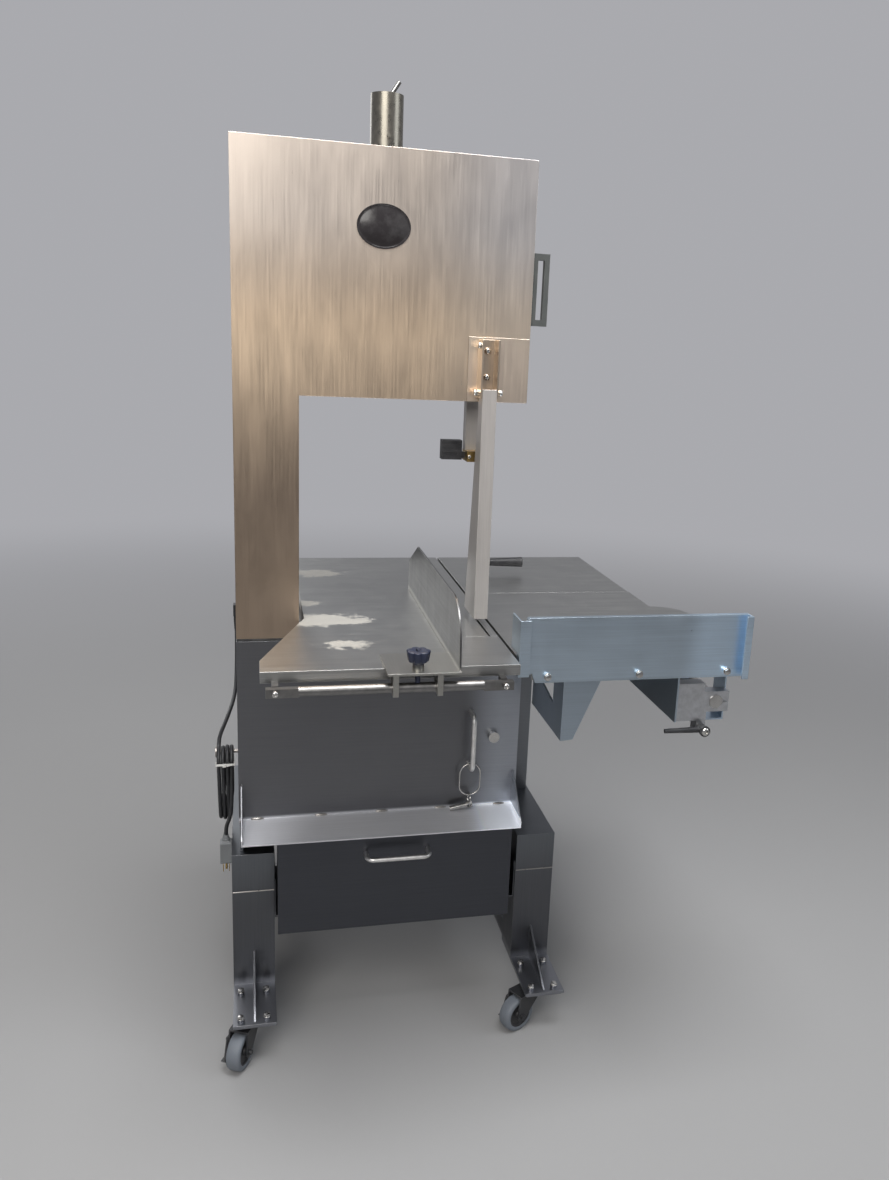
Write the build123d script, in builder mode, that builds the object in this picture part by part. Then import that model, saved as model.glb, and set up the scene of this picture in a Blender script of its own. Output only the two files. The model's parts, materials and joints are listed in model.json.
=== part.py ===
from build123d import *
import math
import os

os.makedirs("parts", exist_ok=True)

# ---------------------------------------------------------------- datum
# Sizes are taken from one corner of the machine: x from the left side of
# the body, y from the face of the doors towards the back, z from the floor.
BODY_LEFT = -410.25
DOOR_FACE = -168.5

# ---------------------------------------------------------------- sheet and clearances
SHEET = 3.0
DOOR_SHEET = 2.5
TABLE_SHEET = 4.0
TOUCH_GAP = 0.3
RUN_FIT = 0.05

# ---------------------------------------------------------------- body
HEAD_W = 508.0
HEAD_TOP = 1700.0
THROAT_TOP = 1295.0
COLUMN_W = 109.0
CASE_W = 527.0
CASE_TOP = 862.0
CASE_BOTTOM = 500.0
DOOR_DEPTH = 22.0
BODY_FRONT = 24.0
BULKHEAD_BACK = 150.0
BULKHEAD_T = 6.0
CASE_BACK = 313.0
HOUSING_W = 640.0
HOUSING_BACK = 525.0
HOUSING_BOTTOM = 395.0

# ---------------------------------------------------------------- saw wheels and blade
WHEEL_D = 340.0
WHEEL_X = 261.0
UPPER_Z = 1508.0
LOWER_Z = 677.0
WHEEL_FRONT = 26.0
WHEEL_W = 28.0
BLADE_W = 16.0
BLADE_T = 0.8
BLADE_FRONT = 31.0
BLADE_IN_R = WHEEL_D / 2 + TOUCH_GAP
BLADE_X = WHEEL_X + BLADE_IN_R + BLADE_T / 2
UPPER_AXLE_D = 25.0
DRIVE_SHAFT_D = 30.0

# ---------------------------------------------------------------- tables
TABLE_TOP = 898.0
TABLE_LIP = 18.0
TABLE_FRONT = -276.0
TABLE_BACK = 519.0
TABLE_LEFT = 38.0
TABLE_SPLIT = 447.0
TABLE_GAP = 5.0
NOTCH_X = 118.5
SLIDE_RIGHT = 802.0
SLIDE_FRONT = -227.0
SEAM_Y = 180.0

# ---------------------------------------------------------------- sliding table run
SHAFT_X = 833.0
SHAFT_Z = 793.0
SHAFT_D = 25.0
SHAFT_FRONT = -207.0
SHAFT_BACK = 512.0

# ---------------------------------------------------------------- guard and guide
PIN_Y = -22.0
PIN_Z = 1312.0
PIN_D = 6.0
GUARD_LEFT = 419.0
GUARD_W = 25.0
GUARD_SHEET = 2.5
GUIDE_BAR_X = 411.0
GUIDE_BAR_Y = 58.0
GUIDE_BAR_SIDE = 22.0
GUIDE_BOTTOM = 1203.0
GUIDE_KNOB_Z = 1360.0

# ---------------------------------------------------------------- gauge
RAIL_Y = -300.0
RAIL_Z = 874.0
RAIL_D = 16.0
RAIL_LEFT = 46.0
RAIL_RIGHT = 430.0
GAUGE_X = 342.0
GAUGE_KNOB_X = 276.0

# ---------------------------------------------------------------- base
LEG_W = 82.0
LEFT_LEG_X = -16.5
RIGHT_LEG_X = 563.0
LEG_FRONT = 92.0
LEG_BACK = 525.0
BEAM_H = 81.0
POST_D = 80.0
PLATE_Z = 105.0
PLATE_T = 6.0
PLATE_FRONT = -39.0
PLATE_BACK = 656.0
CASTER_D = 75.0
CASTER_W = 28.0
CASTER_TRAIL = 42.0
SWIVEL_SHIFT = 11.0
FRONT_CASTER_Y = 18.0
REAR_CASTER_Y = 598.0

# ---------------------------------------------------------------- hinge pins of the doors
HINGE_X = 9.0
HINGE_Y = 14.0
HINGE_PIN_D = 6.0
HINGE_HALF = 6.0
UPPER_HINGES = (1640.0, 1330.0, 930.0)
LOWER_HINGES = (800.0, 580.0)


def seen_from_front(y):
    return Plane(origin=(BODY_LEFT, DOOR_FACE + y, 0), x_dir=(1, 0, 0), z_dir=(0, -1, 0))


def seen_from_right(x):
    return Plane(origin=(BODY_LEFT + x, DOOR_FACE, 0), x_dir=(0, 1, 0), z_dir=(1, 0, 0))


def seen_from_above(z):
    return Plane(origin=(BODY_LEFT, DOOR_FACE, z), x_dir=(1, 0, 0), z_dir=(0, 0, 1))


def spot(x, y, z, rx=0, ry=0, rz=0):
    return Location((BODY_LEFT + x, DOOR_FACE + y, z), (rx, ry, rz))


def block(x0, x1, y0, y1, z0, z1, mode=Mode.ADD):
    with Locations(spot((x0 + x1) / 2, (y0 + y1) / 2, (z0 + z1) / 2)):
        Box(abs(x1 - x0), abs(y1 - y0), abs(z1 - z0), mode=mode)


def rod_x(x0, x1, y, z, radius, mode=Mode.ADD):
    with Locations(spot((x0 + x1) / 2, y, z, ry=90)):
        Cylinder(radius, abs(x1 - x0), mode=mode)


def rod_y(x, y0, y1, z, radius, mode=Mode.ADD):
    with Locations(spot(x, (y0 + y1) / 2, z, rx=90)):
        Cylinder(radius, abs(y1 - y0), mode=mode)


def rod_z(x, y, z0, z1, radius, mode=Mode.ADD):
    with Locations(spot(x, y, (z0 + z1) / 2)):
        Cylinder(radius, abs(z1 - z0), mode=mode)


def front_plate(points, y0, y1, mode=Mode.ADD):
    with BuildSketch(seen_from_front(y0)) as face:
        Polygon(*points, align=None)
    extrude(face.sketch, amount=-(y1 - y0), mode=mode)


def side_plate(points, x0, x1, mode=Mode.ADD):
    with BuildSketch(seen_from_right(x0)) as face:
        Polygon(*points, align=None)
    extrude(face.sketch, amount=x1 - x0, mode=mode)


def flat_plate(points, z0, z1, mode=Mode.ADD):
    with BuildSketch(seen_from_above(z0)) as face:
        Polygon(*points, align=None)
    extrude(face.sketch, amount=z1 - z0, mode=mode)


# ================================================================ welded body
body_outline = [(0, CASE_BOTTOM), (CASE_W, CASE_BOTTOM), (CASE_W, CASE_TOP), (COLUMN_W, CASE_TOP),
                (COLUMN_W, THROAT_TOP), (HEAD_W, THROAT_TOP), (HEAD_W, HEAD_TOP), (0, HEAD_TOP)]
body_inside = [(SHEET, CASE_BOTTOM), (CASE_W - SHEET, CASE_BOTTOM), (CASE_W - SHEET, CASE_TOP - SHEET),
               (COLUMN_W - SHEET, CASE_TOP - SHEET), (COLUMN_W - SHEET, THROAT_TOP + SHEET),
               (HEAD_W - SHEET, THROAT_TOP + SHEET), (HEAD_W - SHEET, HEAD_TOP - SHEET), (SHEET, HEAD_TOP - SHEET)]
BULKHEAD_FACE = BULKHEAD_BACK - BULKHEAD_T
BEARING_TUBE_D = 80.0
TENSION_Y = 100.0
TENSION_SCREW_D = 16.0
CARRIER_HALF = 45.0
MOTOR_X = 420.0
MOTOR_Z = 590.0
GUIDE_SCREW_D = 10.0
CLAMP_BOTTOM = 1330.0
HANK_Y = 215.0
HANK_Z = 497.0
HANK_HALF = 50.0
HANK_R = 27.0
HANK_TUBE = 5.6
HOOK_R = 4.0
HOOK_Y = HANK_Y
HOOK_Z = HANK_Z + HANK_HALF + HANK_R - HANK_TUBE - HOOK_R - TOUCH_GAP
CLAMP_TOP = 1390.0

# the fixed cover at the head's lower right corner, which carries the blade guard
CORNER_X = BLADE_X - 33.0
CORNER_TOP = THROAT_TOP + 111.0
CORNER_GAP = 0.5

with BuildPart() as body_frame:
    front_plate(body_outline, BODY_FRONT, BULKHEAD_BACK)
    front_plate(body_inside, BODY_FRONT, BULKHEAD_FACE, mode=Mode.SUBTRACT)
    block(CORNER_X, HEAD_W, 0, DOOR_SHEET, THROAT_TOP, CORNER_TOP)
    block(CORNER_X, HEAD_W, 0, BODY_FRONT, THROAT_TOP, THROAT_TOP + SHEET)
    block(HEAD_W - SHEET, HEAD_W, 0, BODY_FRONT, THROAT_TOP, CORNER_TOP)
    block(CORNER_X, CORNER_X + DOOR_SHEET, 0, DOOR_DEPTH, THROAT_TOP, CORNER_TOP)
    block(CORNER_X, HEAD_W, 0, DOOR_DEPTH, CORNER_TOP - DOOR_SHEET, CORNER_TOP)
    block(0, CASE_W, BULKHEAD_BACK, CASE_BACK, CASE_BOTTOM, CASE_TOP)
    block(SHEET, CASE_W - SHEET, BULKHEAD_BACK, CASE_BACK - SHEET, CASE_BOTTOM + SHEET, CASE_TOP - SHEET,
          mode=Mode.SUBTRACT)
    # openings in the head floor for blade and guide bar, in the case roof for the blade
    block(BLADE_X - 8, BLADE_X + 8, BODY_FRONT - 1, 56, THROAT_TOP - 1, THROAT_TOP + SHEET + 1, mode=Mode.SUBTRACT)
    block(GUIDE_BAR_X - 2, GUIDE_BAR_X + GUIDE_BAR_SIDE + 2, 54, GUIDE_BAR_Y + GUIDE_BAR_SIDE + 2,
          THROAT_TOP - 1, THROAT_TOP + SHEET + 1, mode=Mode.SUBTRACT)
    block(BLADE_X - 8, BLADE_X + 8, BODY_FRONT - 1, 56, CASE_TOP - SHEET - 1, CASE_TOP + 1, mode=Mode.SUBTRACT)
    rod_z(WHEEL_X, TENSION_Y, HEAD_TOP - SHEET - 1, HEAD_TOP + 1, TENSION_SCREW_D / 2 + 2, mode=Mode.SUBTRACT)
    rod_y(WHEEL_X, BULKHEAD_FACE - 1, BULKHEAD_BACK + 1, LOWER_Z, BEARING_TUBE_D / 2 + 1, mode=Mode.SUBTRACT)
    rod_y(MOTOR_X, CASE_BACK - SHEET - 1, CASE_BACK + 1, MOTOR_Z, 30, mode=Mode.SUBTRACT)
    # guide bar clamp block on the bulkhead
    block(GUIDE_BAR_X - 12, GUIDE_BAR_X + GUIDE_BAR_SIDE + 12, GUIDE_BAR_Y - 6, BULKHEAD_FACE + 1,
          CLAMP_BOTTOM, CLAMP_TOP)
    block(GUIDE_BAR_X - TOUCH_GAP, GUIDE_BAR_X + GUIDE_BAR_SIDE + TOUCH_GAP, GUIDE_BAR_Y - TOUCH_GAP,
          GUIDE_BAR_Y + GUIDE_BAR_SIDE + TOUCH_GAP, CLAMP_BOTTOM - 1, CLAMP_TOP + 1, mode=Mode.SUBTRACT)
    rod_y(GUIDE_BAR_X + GUIDE_BAR_SIDE / 2, GUIDE_BAR_Y + GUIDE_BAR_SIDE, BULKHEAD_BACK + 1, GUIDE_KNOB_Z,
          GUIDE_SCREW_D / 2 + RUN_FIT, mode=Mode.SUBTRACT)
    # two welded brackets that carry the fixed table
    for y0 in (60, 250):
        block(150, 374, y0, y0 + 40, CASE_TOP, TABLE_TOP - TABLE_SHEET)
        block(149, 375, y0 + SHEET, y0 + 40 - SHEET, CASE_TOP, TABLE_TOP - TABLE_SHEET - SHEET, mode=Mode.SUBTRACT)
    # hook for the rolled-up cord
    rod_x(-45, 1, HOOK_Y, HOOK_Z, HOOK_R)
    rod_x(-47.5, -44.5, HOOK_Y, HOOK_Z, 3 * HOOK_R)
    # two upright ways for the tension slide
    for side in (-1, 1):
        inner = WHEEL_X + side * (CARRIER_HALF + TOUCH_GAP)
        block(inner, inner + side * 14, TENSION_Y - 20, BULKHEAD_FACE + 1, UPPER_Z - 90, UPPER_Z + 110)

with BuildPart() as motor_housing:
    block(0, HOUSING_W, CASE_BACK, HOUSING_BACK, HOUSING_BOTTOM, CASE_TOP)
    block(SHEET, HOUSING_W - SHEET, CASE_BACK + SHEET, HOUSING_BACK - SHEET, HOUSING_BOTTOM + SHEET,
          CASE_TOP - SHEET, mode=Mode.SUBTRACT)
    block(SHEET, CASE_W - SHEET, CASE_BACK - 1, CASE_BACK + SHEET + 1, CASE_BOTTOM + SHEET, CASE_TOP - SHEET,
          mode=Mode.SUBTRACT)
    for row in range(8):
        with Locations(spot(HOUSING_W * 0.62, HOUSING_BACK, 560 + row * 24)):
            Box(220, 3 * SHEET, 8, mode=Mode.SUBTRACT)

# ================================================================ base
MID_LEFT = LEFT_LEG_X + LEG_W / 2
MID_RIGHT = RIGHT_LEG_X + LEG_W / 2
RIB_H = 74.0
BEAM_FOOT_Z = HOUSING_BOTTOM - BEAM_H
DRAWER_LEFT = 70.0
DRAWER_RIGHT = 533.0
DRAWER_FACE = 28.0
DRAWER_BACK = 300.0
DRAWER_FOOT = 253.0
DRAWER_TOP = 492.0

with BuildPart() as base_frame:
    for leg_x in (LEFT_LEG_X, RIGHT_LEG_X):
        block(leg_x, leg_x + LEG_W, LEG_FRONT, LEG_BACK, BEAM_FOOT_Z, HOUSING_BOTTOM)
        block(leg_x + SHEET, leg_x + LEG_W - SHEET, LEG_FRONT + SHEET, LEG_BACK - SHEET, BEAM_FOOT_Z + SHEET,
              HOUSING_BOTTOM - SHEET, mode=Mode.SUBTRACT)
        for y0 in (LEG_FRONT, LEG_BACK - POST_D):
            block(leg_x, leg_x + LEG_W, y0, y0 + POST_D, PLATE_Z - PLATE_T, BEAM_FOOT_Z)
            block(leg_x + SHEET, leg_x + LEG_W - SHEET, y0 + SHEET, y0 + POST_D - SHEET, PLATE_Z, BEAM_FOOT_Z,
                  mode=Mode.SUBTRACT)
        block(leg_x, leg_x + LEG_W, PLATE_FRONT, LEG_FRONT + POST_D, PLATE_Z - PLATE_T, PLATE_Z)
        block(leg_x, leg_x + LEG_W, LEG_BACK - POST_D, PLATE_BACK, PLATE_Z - PLATE_T, PLATE_Z)
        mid = leg_x + LEG_W / 2
        side_plate([(PLATE_FRONT + 8, PLATE_Z), (LEG_FRONT, PLATE_Z), (LEG_FRONT, PLATE_Z + RIB_H)],
                   mid - 2, mid + 2)
        side_plate([(PLATE_BACK - 8, PLATE_Z), (LEG_BACK, PLATE_Z), (LEG_BACK, PLATE_Z + RIB_H)],
                   mid - 2, mid + 2)
    # low tie bars along both sides
    for tie_x in (LEFT_LEG_X + LEG_W - 20, RIGHT_LEG_X):
        block(tie_x, tie_x + 20, LEG_FRONT + POST_D, LEG_BACK - POST_D, 110, 150)
        block(tie_x + SHEET, tie_x + 20 - SHEET, LEG_FRONT + POST_D, LEG_BACK - POST_D, 110 + SHEET, 150 - SHEET,
              mode=Mode.SUBTRACT)
    # cross bars under the rear housing
    for bar_y in (325, LEG_BACK - 45):
        block(LEFT_LEG_X + LEG_W, RIGHT_LEG_X, bar_y, bar_y + 40, 345, 385)
        block(LEFT_LEG_X + LEG_W, RIGHT_LEG_X, bar_y + SHEET, bar_y + 40 - SHEET, 345 + SHEET, 385 - SHEET,
              mode=Mode.SUBTRACT)
    # strut that carries the wheel case on the left side
    block(0, SHEET + 3, 110, CASE_BACK, HOUSING_BOTTOM, CASE_BOTTOM)
    # runners of the drawer
    for wall, rail in ((LEFT_LEG_X + LEG_W, DRAWER_LEFT + 12), (RIGHT_LEG_X, DRAWER_RIGHT - 16)):
        block(wall, rail, LEG_FRONT + 4, DRAWER_BACK - 4, DRAWER_FOOT - 3, DRAWER_FOOT - TOUCH_GAP)
        edge = wall + math.copysign(2.5, rail - wall)
        block(wall, edge, LEG_FRONT + 4, DRAWER_BACK - 4, DRAWER_FOOT - 3, BEAM_FOOT_Z + 20)

# ================================================================ doors
with BuildPart() as upper_door:
    cut_x = CORNER_X - CORNER_GAP
    cut_z = CORNER_TOP + CORNER_GAP
    door_outline = [(0, CASE_TOP + 5), (COLUMN_W, CASE_TOP + 5), (COLUMN_W, THROAT_TOP), (cut_x, THROAT_TOP),
                    (cut_x, cut_z), (HEAD_W, cut_z), (HEAD_W, HEAD_TOP), (0, HEAD_TOP)]
    door_inside = [(DOOR_SHEET, CASE_TOP + 5 + DOOR_SHEET), (COLUMN_W - DOOR_SHEET, CASE_TOP + 5 + DOOR_SHEET),
                   (COLUMN_W - DOOR_SHEET, THROAT_TOP + DOOR_SHEET), (cut_x - DOOR_SHEET, THROAT_TOP + DOOR_SHEET),
                   (cut_x - DOOR_SHEET, cut_z + DOOR_SHEET), (HEAD_W - DOOR_SHEET, cut_z + DOOR_SHEET),
                   (HEAD_W - DOOR_SHEET, HEAD_TOP - DOOR_SHEET), (DOOR_SHEET, HEAD_TOP - DOOR_SHEET)]
    front_plate(door_outline, 0, DOOR_DEPTH)
    front_plate(door_inside, DOOR_SHEET, DOOR_DEPTH + 1, mode=Mode.SUBTRACT)
    # the corners beside the hinge are cut back so that they swing clear of the body
    block(-1, 5, 17, DOOR_DEPTH + 1, CASE_TOP, HEAD_TOP + 1, mode=Mode.SUBTRACT)
    for hinge_z in UPPER_HINGES:
        block(-1, DOOR_SHEET + 0.1, DOOR_SHEET, DOOR_DEPTH, hinge_z - HINGE_HALF - 3, hinge_z + HINGE_HALF + 3,
              mode=Mode.SUBTRACT)
        block(DOOR_SHEET - 0.5, HINGE_X, 9, 18, hinge_z + HINGE_HALF + 3, hinge_z + HINGE_HALF + 23)
        rod_z(HINGE_X, HINGE_Y, hinge_z + HINGE_HALF + 3, hinge_z + HINGE_HALF + 23, 5.5)
        rod_z(HINGE_X, HINGE_Y, hinge_z, hinge_z + 40, HINGE_PIN_D / 2 + RUN_FIT, mode=Mode.SUBTRACT)

TRAY_REACH = 78.0
TRAY_DROP = 13.0
TRAY_Z = 515.0
TRAY_LEFT = 4.0
TRAY_RIGHT = CASE_W - 6.0
CHEEK_H = 72.0
LOWER_BOLT_X = CASE_W - 51.0
LOWER_BOLT_Z = 662.0
HANDLE_X = 431.0

with BuildPart() as lower_door:
    block(0, CASE_W, 0, DOOR_DEPTH, TRAY_Z, CASE_TOP)
    block(DOOR_SHEET, CASE_W - DOOR_SHEET, DOOR_SHEET, DOOR_DEPTH + 1, TRAY_Z + DOOR_SHEET, CASE_TOP - DOOR_SHEET,
          mode=Mode.SUBTRACT)
    block(-1, 5, 17, DOOR_DEPTH + 1, TRAY_Z - 1, CASE_TOP + 1, mode=Mode.SUBTRACT)
    for hinge_z in LOWER_HINGES:
        block(-1, DOOR_SHEET + 0.1, DOOR_SHEET, DOOR_DEPTH, hinge_z - HINGE_HALF - 3, hinge_z + HINGE_HALF + 3,
              mode=Mode.SUBTRACT)
        block(DOOR_SHEET - 0.5, HINGE_X, 9, 18, hinge_z + HINGE_HALF + 3, hinge_z + HINGE_HALF + 23)
        rod_z(HINGE_X, HINGE_Y, hinge_z + HINGE_HALF + 3, hinge_z + HINGE_HALF + 23, 5.5)
        rod_z(HINGE_X, HINGE_Y, hinge_z, hinge_z + 40, HINGE_PIN_D / 2 + RUN_FIT, mode=Mode.SUBTRACT)
    # catch tray with two cheeks, welded to the foot of the door
    side_plate([(0, TRAY_Z), (0, TRAY_Z + 2.5), (-TRAY_REACH, TRAY_Z - TRAY_DROP + 2.5),
                (-TRAY_REACH, TRAY_Z - TRAY_DROP)], TRAY_LEFT, TRAY_RIGHT)
    for x0 in (TRAY_LEFT, TRAY_RIGHT - 2.5):
        side_plate([(0, TRAY_Z), (0, TRAY_Z + CHEEK_H), (-6, TRAY_Z + CHEEK_H),
                    (-TRAY_REACH, TRAY_Z - TRAY_DROP + 12), (-TRAY_REACH, TRAY_Z - TRAY_DROP)], x0, x0 + 2.5)
    rod_y(LOWER_BOLT_X, -1, DOOR_SHEET + 1, LOWER_BOLT_Z, 5 + RUN_FIT, mode=Mode.SUBTRACT)
    # upright D-handle
    with BuildLine(seen_from_right(HANDLE_X)) as pull_line:
        FilletPolyline((1, 604.5), (-34, 604.5), (-34, 712.5), (1, 712.5), radius=12)
    with BuildSketch(Plane(origin=pull_line.line @ 0, z_dir=pull_line.line % 0)):
        Circle(4.5)
    sweep(path=pull_line.line)

with BuildPart() as door_hinge_pins:
    for hinge_z in UPPER_HINGES + LOWER_HINGES:
        block(SHEET, HINGE_X + 4, HINGE_Y - 5, 58, hinge_z - HINGE_HALF, hinge_z + HINGE_HALF)
        rod_z(HINGE_X, HINGE_Y, hinge_z, hinge_z + 32, HINGE_PIN_D / 2)

with BuildPart() as upper_door_handle:
    block(HEAD_W, HEAD_W + 30, 5, 17, 1429, 1551)
    block(HEAD_W + 9, HEAD_W + 21, 4, 18, 1440, 1540, mode=Mode.SUBTRACT)

with BuildPart() as door_lock_bolt:
    rod_y(LOWER_BOLT_X, -4, 18, LOWER_BOLT_Z, 5)
    rod_y(LOWER_BOLT_X, -13, -TOUCH_GAP, LOWER_BOLT_Z, 10.5)
    block(LOWER_BOLT_X - 8, LOWER_BOLT_X + 40, 8, 14, LOWER_BOLT_Z - 8, LOWER_BOLT_Z + 8)

with BuildPart() as start_box:
    block(20, 90, BULKHEAD_BACK, BULKHEAD_BACK + 40, 1040, 1160)
    for z in (1070, 1130):
        rod_y(55, BULKHEAD_BACK + 30, BULKHEAD_BACK + 41, z, 11 + 0.4, mode=Mode.SUBTRACT)
        rod_y(55, BULKHEAD_BACK + 20, BULKHEAD_BACK + 31, z, 6 + 0.4, mode=Mode.SUBTRACT)

with BuildPart() as start_button:
    rod_y(55, BULKHEAD_BACK + 36, BULKHEAD_BACK + 46, 1130, 11)
    rod_y(55, BULKHEAD_BACK + 26, BULKHEAD_BACK + 37, 1130, 6)

with BuildPart() as stop_button:
    rod_y(55, BULKHEAD_BACK + 36, BULKHEAD_BACK + 50, 1070, 11)
    rod_y(55, BULKHEAD_BACK + 26, BULKHEAD_BACK + 37, 1070, 6)
    rod_y(55, BULKHEAD_BACK + 46, BULKHEAD_BACK + 54, 1070, 17)

LOOP_WIRE = 1.5
LOOP_Y = -15.0
LOOP_TOP = 611.5
LOOP_H = 64.0
LOOP_HALF = 20.0
RING_R = 12.0
RING_Z = LOOP_TOP - LOOP_H + 2 * LOOP_WIRE + 2 * TOUCH_GAP - RING_R
PIN_EYE_Z = RING_Z - RING_R + 0.4
PIN_L = 44.0
PIN_TILT = 10.8
with BuildPart() as lanyard_pin:
    # wire loop hung round the foot of the handle
    with BuildLine(seen_from_front(LOOP_Y)) as loop_line:
        l1 = Line((HANDLE_X - LOOP_HALF, LOOP_TOP - LOOP_H + LOOP_HALF), (HANDLE_X - LOOP_HALF, LOOP_TOP - LOOP_HALF))
        l2 = ThreePointArc(l1 @ 1, (HANDLE_X, LOOP_TOP), (HANDLE_X + LOOP_HALF, LOOP_TOP - LOOP_HALF))
        l3 = Line(l2 @ 1, (HANDLE_X + LOOP_HALF, LOOP_TOP - LOOP_H + LOOP_HALF))
        l4 = ThreePointArc(l3 @ 1, (HANDLE_X, LOOP_TOP - LOOP_H), l1 @ 0)
    with BuildSketch(Plane(origin=loop_line.line @ 0, z_dir=loop_line.line % 0)):
        Circle(LOOP_WIRE)
    sweep(path=loop_line.line)
    with Locations(spot(HANDLE_X, LOOP_Y, RING_Z, ry=90)):
        Torus(RING_R, LOOP_WIRE)
    # pin with a cross hole in its head
    with Locations(spot(HANDLE_X, LOOP_Y, PIN_EYE_Z, ry=-90 - PIN_TILT)):
        with Locations((0, 0, PIN_L / 2 - 6)):
            Cylinder(5, PIN_L)
        Cylinder(7, 12)
    rod_y(HANDLE_X, LOOP_Y - 9, LOOP_Y + 9, PIN_EYE_Z, 4.2, mode=Mode.SUBTRACT)

# ================================================================ blade guard
GUARD_TOP = 1318.0
GUARD_FOOT = TABLE_TOP + 10.0
guard_side = [(-36, GUARD_TOP), (-10, GUARD_TOP), (-6, 1292), (44, GUARD_FOOT), (-42, GUARD_FOOT)]
guard_room = [(-36 + GUARD_SHEET, GUARD_TOP + 1), (0, GUARD_TOP + 1), (60, 1292), (60, GUARD_FOOT - 1),
              (-42 + GUARD_SHEET, GUARD_FOOT - 1)]

with BuildPart() as blade_guard:
    side_plate(guard_side, GUARD_LEFT, GUARD_LEFT + GUARD_W)
    side_plate(guard_room, GUARD_LEFT + GUARD_SHEET, GUARD_LEFT + GUARD_W - GUARD_SHEET, mode=Mode.SUBTRACT)
    rod_x(GUARD_LEFT - 1, GUARD_LEFT + GUARD_W + 1, PIN_Y, PIN_Z, PIN_D / 2 + RUN_FIT, mode=Mode.SUBTRACT)

with BuildPart() as guard_bracket:
    left = GUARD_LEFT - TOUCH_GAP - SHEET
    right = GUARD_LEFT + GUARD_W + TOUCH_GAP + SHEET
    block(left, right, -SHEET, 0, 1302, 1402)
    block(left, left + SHEET, -34, 0, 1302, 1402)
    block(right - SHEET, right, -34, 0, 1302, 1402)
    rod_x(left - 5, right + 5, PIN_Y, PIN_Z, PIN_D / 2)
    for x0, x1 in ((left - 5, left), (right, right + 5)):
        rod_x(x0, x1, PIN_Y, PIN_Z, 5.5)
    for z in (1338, 1383):
        rod_y(GUARD_LEFT + GUARD_W / 2, -8, -SHEET, z, 5)

# ================================================================ upper blade guide
GUIDE_BAR_TOP = 1610.0
with BuildPart() as guide_bar:
    block(GUIDE_BAR_X, GUIDE_BAR_X + GUIDE_BAR_SIDE, GUIDE_BAR_Y, GUIDE_BAR_Y + GUIDE_BAR_SIDE, GUIDE_BOTTOM,
          GUIDE_BAR_TOP)
    block(GUIDE_BAR_X + 3, GUIDE_BAR_X + GUIDE_BAR_SIDE - 3, GUIDE_BAR_Y + 3, GUIDE_BAR_Y + GUIDE_BAR_SIDE - 3,
          GUIDE_BOTTOM + 6, GUIDE_BAR_TOP + 1, mode=Mode.SUBTRACT)

with BuildPart() as guide_block:
    block(GUIDE_BAR_X, BLADE_X + 6, BLADE_FRONT + 4, GUIDE_BAR_Y + GUIDE_BAR_SIDE, GUIDE_BOTTOM - 19, GUIDE_BOTTOM)
    block(BLADE_X - BLADE_T / 2 - TOUCH_GAP, BLADE_X + BLADE_T / 2 + TOUCH_GAP, BLADE_FRONT,
          BLADE_FRONT + BLADE_W + TOUCH_GAP, GUIDE_BOTTOM - 20, GUIDE_BOTTOM + 1, mode=Mode.SUBTRACT)

with BuildPart() as scraper_block:
    block(367, 404, 50, 72, GUIDE_BOTTOM - 17, GUIDE_BOTTOM + 18)
    block(404, GUIDE_BAR_X, 56, 66, GUIDE_BOTTOM - 15, GUIDE_BOTTOM - 3)
    for z in range(3):
        block(366, 396, 49, 51, GUIDE_BOTTOM - 8 + z * 9, GUIDE_BOTTOM - 4 + z * 9, mode=Mode.SUBTRACT)

with BuildPart() as guide_lock_knob:
    rod_y(GUIDE_BAR_X + GUIDE_BAR_SIDE / 2, GUIDE_BAR_Y + GUIDE_BAR_SIDE + 2 * TOUCH_GAP, BULKHEAD_BACK + 10,
          GUIDE_KNOB_Z, GUIDE_SCREW_D / 2)
    rod_y(GUIDE_BAR_X + GUIDE_BAR_SIDE / 2, BULKHEAD_BACK + 1, BULKHEAD_BACK + 24, GUIDE_KNOB_Z, 12)
    for turn in (0, 60, 120):
        with Locations(spot(GUIDE_BAR_X + GUIDE_BAR_SIDE / 2, BULKHEAD_BACK + 16, GUIDE_KNOB_Z, ry=turn)):
            Box(44, 14, 11)

# ================================================================ wheels and blade
def saw_wheel(z, hub_back, bore):
    with BuildPart() as wheel:
        rod_y(WHEEL_X, WHEEL_FRONT, WHEEL_FRONT + WHEEL_W, z, WHEEL_D / 2)
        rod_y(WHEEL_X, WHEEL_FRONT + WHEEL_W - 4, WHEEL_FRONT + WHEEL_W, z, WHEEL_D / 2 + 2.5)
        rod_y(WHEEL_X, WHEEL_FRONT - 1, WHEEL_FRONT + 10, z, WHEEL_D / 2 - 12, mode=Mode.SUBTRACT)
        rod_y(WHEEL_X, WHEEL_FRONT + 18, WHEEL_FRONT + WHEEL_W + 1, z, WHEEL_D / 2 - 12, mode=Mode.SUBTRACT)
        rod_y(WHEEL_X, WHEEL_FRONT, hub_back, z, 36)
        for spoke in range(6):
            a = math.radians(spoke * 60 + 30)
            rod_y(WHEEL_X + 100 * math.cos(a), WHEEL_FRONT, WHEEL_FRONT + WHEEL_W, z + 100 * math.sin(a), 32,
                  mode=Mode.SUBTRACT)
        rod_y(WHEEL_X, WHEEL_FRONT - 1, hub_back + 1, z, bore / 2, mode=Mode.SUBTRACT)
    return wheel


upper_wheel = saw_wheel(UPPER_Z, WHEEL_FRONT + 40, UPPER_AXLE_D + 2 * RUN_FIT)
lower_wheel = saw_wheel(LOWER_Z, WHEEL_FRONT + 34, DRIVE_SHAFT_D)

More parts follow.
